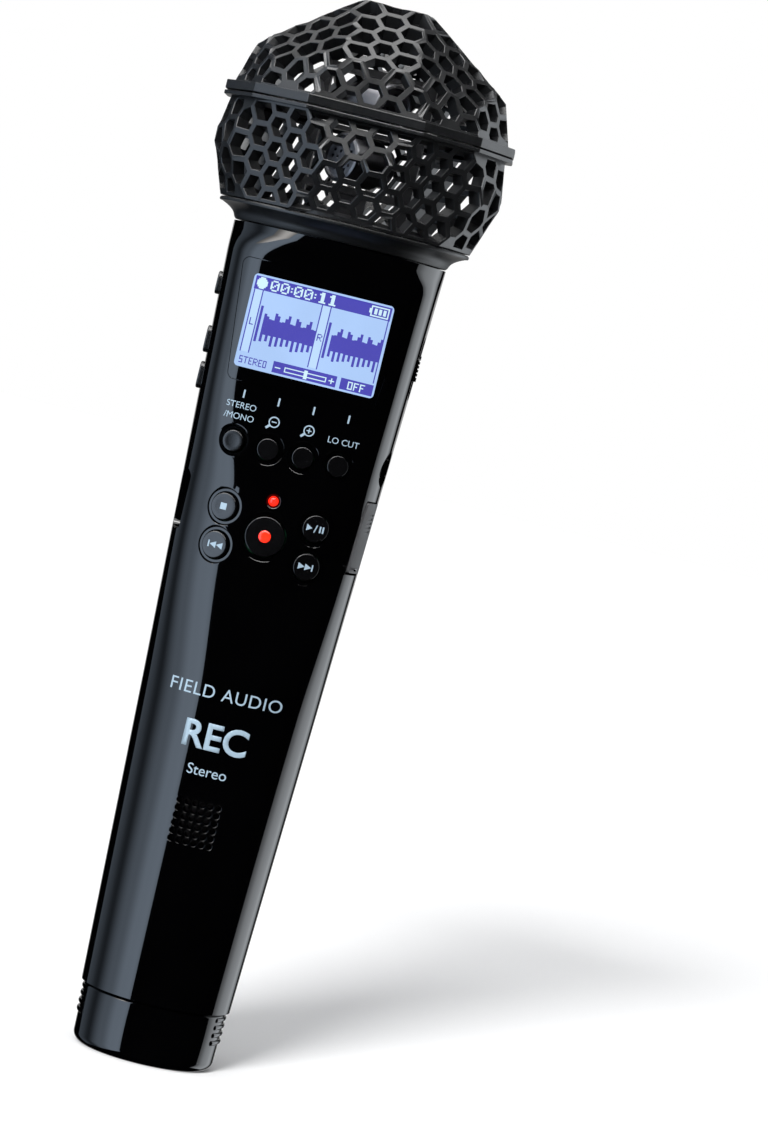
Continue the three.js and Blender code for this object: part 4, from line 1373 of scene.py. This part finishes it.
def flat_shape(name, outline):
    """A flat face over a closed outline of (x, z) points."""
    piece = draw_line(name, [(x, 0, z) for x, z in list(outline) + [outline[0]]])
    bpy.ops.mesh.select_all(action="SELECT")
    bpy.ops.mesh.remove_doubles(threshold=1e-7)
    bpy.ops.mesh.edge_face_add()
    bpy.ops.object.mode_set(mode="OBJECT")
    return piece


def flat_box(name, x, z, x0, z0, x1, z1):
    """A flat rectangle whose corners are given from a spot (x, z)."""
    return flat_shape(name, [(x + u, z + v) for u, v in ((x0, z0), (x1, z0), (x1, z1), (x0, z1))])


def magnifier(name, x, z, plus):
    """A magnifying glass with a minus or a plus in it."""
    inner, outer, count, arm, half_line = 0.87, 1.11, 16, 0.5, 0.1
    parts = []
    for k in range(count):
        a, b = (math.tau * j / count for j in (k, k + 1))
        corners = ((inner, a), (outer, a), (outer, b), (inner, b))
        parts.append(flat_shape(name, [(x + r * math.cos(t), z + r * math.sin(t)) for r, t in corners]))
    handle = ((-0.92, -0.57), (-0.57, -0.92), (-1.25, -1.56), (-1.56, -1.25))
    parts.append(flat_shape(name, [(x + u, z + v) for u, v in handle]))
    parts.append(flat_box(name, x, z, -arm, -half_line, arm, half_line))
    if plus:
        parts.append(flat_box(name, x, z, -half_line, half_line, half_line, arm))
        parts.append(flat_box(name, x, z, -half_line, -arm, half_line, -half_line))
    return joined(name, parts)


class RECORDER_OT_marks(bpy.types.Operator):
    """Print the generic labels, ticks and icons on the handle"""

    bl_idname = "recorder.marks"
    bl_label = "Printed marks"

    def execute(self, context):
        first, second, third, fourth = (
            middle_mm(name).x for name in ("key_stereo_mono", "key_zoom_out", "key_zoom_in", "key_low_cut"))
        small, icon_height, tick_height, half_tick = 1.75, 129.3, 132.5, 0.17
        ticks = [flat_box("ticks", x, tick_height, -half_tick, 0, half_tick, 1.6)
                 for x in (first, second, third, fourth)]
        pieces = [
            joined("key_ticks", ticks),
            lettering("label_stereo", "STEREO", small, first, 130.9),
            lettering("label_mono", "/MONO", small, first, 128.7),
            magnifier("label_zoom_out", second, icon_height, False),
            magnifier("label_zoom_in", third, icon_height, True),
            lettering("label_low_cut", "LO CUT", small, fourth, 128.6),
            lettering("handle_title", "FIELD AUDIO", 3.6, 0, 75.0, spacing=1.08),
            lettering("handle_subtitle", "REC", 7.4, 0, 66.2, bold=0.16),
            lettering("handle_note", "Stereo", 3.0, 0, 59.6)]
        for piece in pieces:
            finish(lay_print(piece), "recorder", print_grey())
        return {"FINISHED"}


# ---- finishes of the frame's own nodes ----
class RECORDER_OT_inside(bpy.types.Operator):
    """Give the frame's inner pieces their finishes"""

    bl_idname = "recorder.inside"
    bl_label = "Inner pieces"

    def execute(self, context):
        metal = bpy.data.materials["contact_metal"]
        plastic = moulded("holder_black", (0.012, 0.012, 0.013), 0.4, 1800.0, 0.00003, 0.2)
        silver = moulded("cell_silver", (0.3, 0.31, 0.33), 0.35, 500.0, 0.00002, 0.2, 1.0)
        finishes = {
            "capsule_holder": plastic,
            "inner_frame": plastic,
            "main_board": moulded("board_green", (0.01, 0.06, 0.03), 0.4, 900.0, 0.00004, 0.35),
            "display_module": moulded("display_back", (0.03, 0.032, 0.04), 0.5, 1500.0, 0.00002, 0.15),
            "memory_card": moulded("card_black", (0.02, 0.02, 0.024), 0.45, 2000.0, 0.00002, 0.15),
            "speaker": moulded("speaker_grey", (0.05, 0.05, 0.055), 0.55, 1400.0, 0.00006, 0.25),
            "battery_1": silver, "battery_2": silver,
            "battery_contact": metal, "battery_spring": metal, "card_socket": metal, "cover_pin": metal,
        }
        for name, material in finishes.items():
            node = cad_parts[name]
            node.data.materials.clear()
            node.data.materials.append(material)
        return {"FINISHED"}


# ---- stage ----
def reflector_material(name, steps, colour, along, start, end):
    """Light that changes along one axis, from (share, strength) steps."""
    material = bpy.data.materials.new(name)
    nodes, links = emptied(material)
    place, split = add_node(nodes, "TexCoord"), add_node(nodes, "SeparateXYZ")
    ramp = add_node(nodes, "ValToRGB")
    ramp.color_ramp.interpolation = "EASE"
    stops = ramp.color_ramp.elements
    while len(stops) < len(steps):
        stops.new(0.5)
    for stop, (share, strength) in zip(stops, steps):
        stop.position = share
        stop.color = (*[c * strength for c in colour], 1)
    glow, output = add_node(nodes, "Emission"), add_node(nodes, "OutputMaterial")
    links.new(place.outputs["Object"], split.inputs[0])
    links.new(spread(nodes, links, split.outputs[along], 0, 1, start, end), ramp.inputs[0])
    links.new(ramp.outputs[0], glow.inputs[0])
    links.new(glow.outputs[0], output.inputs[0])
    material.cycles.emission_sampling = "NONE"
    return material


def gloss_only(panel):
    for kind in ("camera", "diffuse", "shadow", "transmission", "volume_scatter"):
        setattr(panel, f"visible_{kind}", False)


def panel_mesh(name, corners):
    clear_selection()
    bpy.ops.mesh.primitive_plane_add(size=1)
    panel = name_piece(name)
    for vertex, corner in zip(panel.data.vertices, corners):
        vertex.co = corner
    return panel


def reflector(name, start, end, z0, z1, steps, colour):
    """An upright panel from start to end on the floor plan, in metres."""
    (ax, ay), (bx, by) = start, end
    panel = panel_mesh(name, [(ax, ay, z0), (bx, by, z0), (ax, ay, z1), (bx, by, z1)])
    along = "Y" if abs(by - ay) > abs(bx - ax) else "X"
    span = (ay, by) if along == "Y" else (ax, bx)
    panel.data.materials.append(reflector_material(name, steps, colour, along, *span))
    gloss_only(panel)


def overhead_reflector(name, across, deep, z, steps):
    """A level panel over two spans, in metres, whose light changes along X."""
    (x0, x1), (y0, y1) = across, deep
    panel = panel_mesh(name, [(x0, y0, z), (x1, y0, z), (x0, y1, z), (x1, y1, z)])
    panel.data.materials.append(reflector_material(name, steps, (1, 1, 1), "X", x0, x1))
    gloss_only(panel)


class RECORDER_OT_stage(bpy.types.Operator):
    """Set up the pale floor, the soft lights and the camera"""

    bl_idname = "recorder.stage"
    bl_label = "Stage"

    def execute(self, context):
        self.lay_floor()
        self.light_world(context)
        self.hang_panels()
        self.add_sun(context)
        self.place_camera(context)
        return {"FINISHED"}

    def lay_floor(self):
        clear_selection()
        bpy.ops.mesh.primitive_circle_add(vertices=96, radius=4.0, fill_type="NGON")
        floor = name_piece("floor")
        paper, nodes, links, shader = blank_material("floor_paper")
        shade = tint(nodes, links, noise(nodes, links, 3.0), (0.9, 0.9, 0.9), (0.93, 0.93, 0.93))
        links.new(shade, shader.inputs["Base Color"])
        shader.inputs["Roughness"].default_value = 0.9
        floor.data.materials.append(paper)
        floor.visible_glossy = False

    def hang_panels(self):
        """Soft reflectors that only the gloss shows: left, right, behind and overhead."""
        reflector("left_panel", (-0.6, -0.9), (-0.6, 0.5), -0.6, 0.9,
                  ((0.0, 3.0), (0.12, 3.6), (0.3, 3.4), (0.5, 1.8), (0.72, 0.2), (0.86, 0.4), (1.0, 0.4)),
                  (0.7, 0.85, 1.05))
        reflector("right_panel", (0.8, 0.22), (0.45, 1.0), -0.6, 0.7,
                  ((0.0, 1.0), (0.25, 2.0), (0.6, 1.7), (1.0, 0.4)), (0.9, 0.95, 1.0))
        reflector("back_panel", (0.3, 1.3), (-0.42, 1.3), -0.6, 0.9,
                  ((0.0, 0.5), (1.0, 0.5)), (1.0, 1.0, 1.0))
        overhead_reflector("top_panel", (-0.9, 0.6), (-0.75, 0.3), 0.75,
                           ((0.0, 6.0), (0.3, 7.5), (0.6, 4.0), (0.8, 1.0), (1.0, 0.3)))
        overhead_reflector("top_strip", (-0.9, 0.5), (-0.42, -0.3), 0.7, ((0.0, 20.0), (1.0, 20.0)))
        reflector("upper_left_glow", (-0.59, -0.72), (-0.59, -0.22), 0.27, 0.6,
                  ((0.0, 2.0), (0.5, 8.0), (1.0, 2.0)), (1.0, 0.97, 0.94))

    def light_world(self, context):
        """White behind the object, soft white light on it, and near black in its gloss."""
        world = bpy.data.worlds.new("studio")
        context.scene.world = world
        nodes, links = emptied(world)
        path = add_node(nodes, "LightPath")
        white = add_node(nodes, "Background", Color=(1, 1, 1, 1), Strength=1.0)
        dim = add_node(nodes, "Background", Color=(0.001, 0.001, 0.0012, 1))
        soft = add_node(nodes, "Background", Color=(0.97, 0.98, 1.0, 1), Strength=0.55)
        light = soft
        for ray, other in (("Is Glossy Ray", dim), ("Is Camera Ray", white)):
            mix = add_node(nodes, "MixShader")
            links.new(path.outputs[ray], mix.inputs[0])
            links.new(light.outputs[0], mix.inputs[1])
            links.new(other.outputs[0], mix.inputs[2])
            light = mix
        links.new(light.outputs[0], add_node(nodes, "OutputWorld").inputs[0])
        context.scene.view_settings.view_transform = "Standard"

    def add_sun(self, context):
        sun = bpy.data.lights.new("sun", "SUN")
        sun.energy = 5.2
        sun.angle = math.radians(14)
        lamp = bpy.data.objects.new("sun", sun)
        lamp.rotation_euler = Vector((0.27, 0.96, -0.47)).to_track_quat("-Z", "Y").to_euler()
        lamp.visible_glossy = False
        context.scene.collection.objects.link(lamp)

    def place_camera(self, context):
        """A long lens in front of the object, a little to its right, rolled so that it leans."""
        away, height, side, roll = 0.9, 0.149, math.radians(2.5), math.radians(13.9)
        aim_height, aim_right = 0.1064, 0.0237
        right = Vector((math.cos(side), math.sin(side), 0))
        place = Vector((away * math.sin(side), -away * math.cos(side), height))
        ahead = (Vector((0, 0, aim_height)) + right * aim_right - place).normalized()
        level_right = ahead.cross(Vector((0, 0, 1))).normalized()
        level_up = level_right.cross(ahead)
        turned_right = level_right * math.cos(roll) + level_up * math.sin(roll)
        turned_up = level_up * math.cos(roll) - level_right * math.sin(roll)
        data = bpy.data.cameras.new("camera")
        data.sensor_fit = "VERTICAL"
        data.sensor_height = 36.0
        data.lens = 144.06
        data.clip_start = 0.01
        data.clip_end = 50.0
        camera = bpy.data.objects.new("camera", data)
        rotation = Matrix((turned_right, turned_up, -ahead)).transposed().to_4x4()
        camera.matrix_world = Matrix.Translation(place) @ rotation
        context.scene.collection.objects.link(camera)
        context.scene.camera = camera


class RECORDER_PT_panel(bpy.types.Panel):
    """Sidebar panel that lists the recorder's sizes, colours and pieces"""

    bl_label = "Field recorder"
    bl_idname = "RECORDER_PT_panel"
    bl_space_type = "VIEW_3D"
    bl_region_type = "UI"
    bl_category = "Recorder"

    def draw(self, context):
        for group in (context.scene.recorder_sizes, context.scene.recorder_colours):
            box = self.layout.box()
            for name in group.__annotations__:
                box.prop(group, name)
        for operator in OPERATORS:
            self.layout.operator(operator.bl_idname)


OPERATORS = (
    RECORDER_OT_cages, RECORDER_OT_collar, RECORDER_OT_capsules, RECORDER_OT_handle, RECORDER_OT_end_cap,
    RECORDER_OT_display, RECORDER_OT_keys, RECORDER_OT_lamps, RECORDER_OT_side_keys, RECORDER_OT_sockets,
    RECORDER_OT_marks, RECORDER_OT_inside, RECORDER_OT_stage)
CLASSES = (RecorderSizes, RecorderColours) + OPERATORS + (RECORDER_PT_panel,)


def register():
    for item in CLASSES:
        bpy.utils.register_class(item)
    bpy.types.Scene.recorder_sizes = PointerProperty(type=RecorderSizes)
    bpy.types.Scene.recorder_colours = PointerProperty(type=RecorderColours)


def unregister():
    del bpy.types.Scene.recorder_colours
    del bpy.types.Scene.recorder_sizes
    for item in reversed(CLASSES):
        bpy.utils.unregister_class(item)


def main():
    register()
    bpy.ops.recorder.cages()
    bpy.ops.recorder.collar()
    bpy.ops.recorder.capsules()
    bpy.ops.recorder.handle()
    bpy.ops.recorder.end_cap()
    bpy.ops.recorder.display()
    bpy.ops.recorder.keys()
    bpy.ops.recorder.lamps()
    bpy.ops.recorder.side_keys()
    bpy.ops.recorder.sockets()
    bpy.ops.recorder.marks()
    bpy.ops.recorder.inside()
    bpy.ops.recorder.stage()


if __name__ == "__main__":
    main()
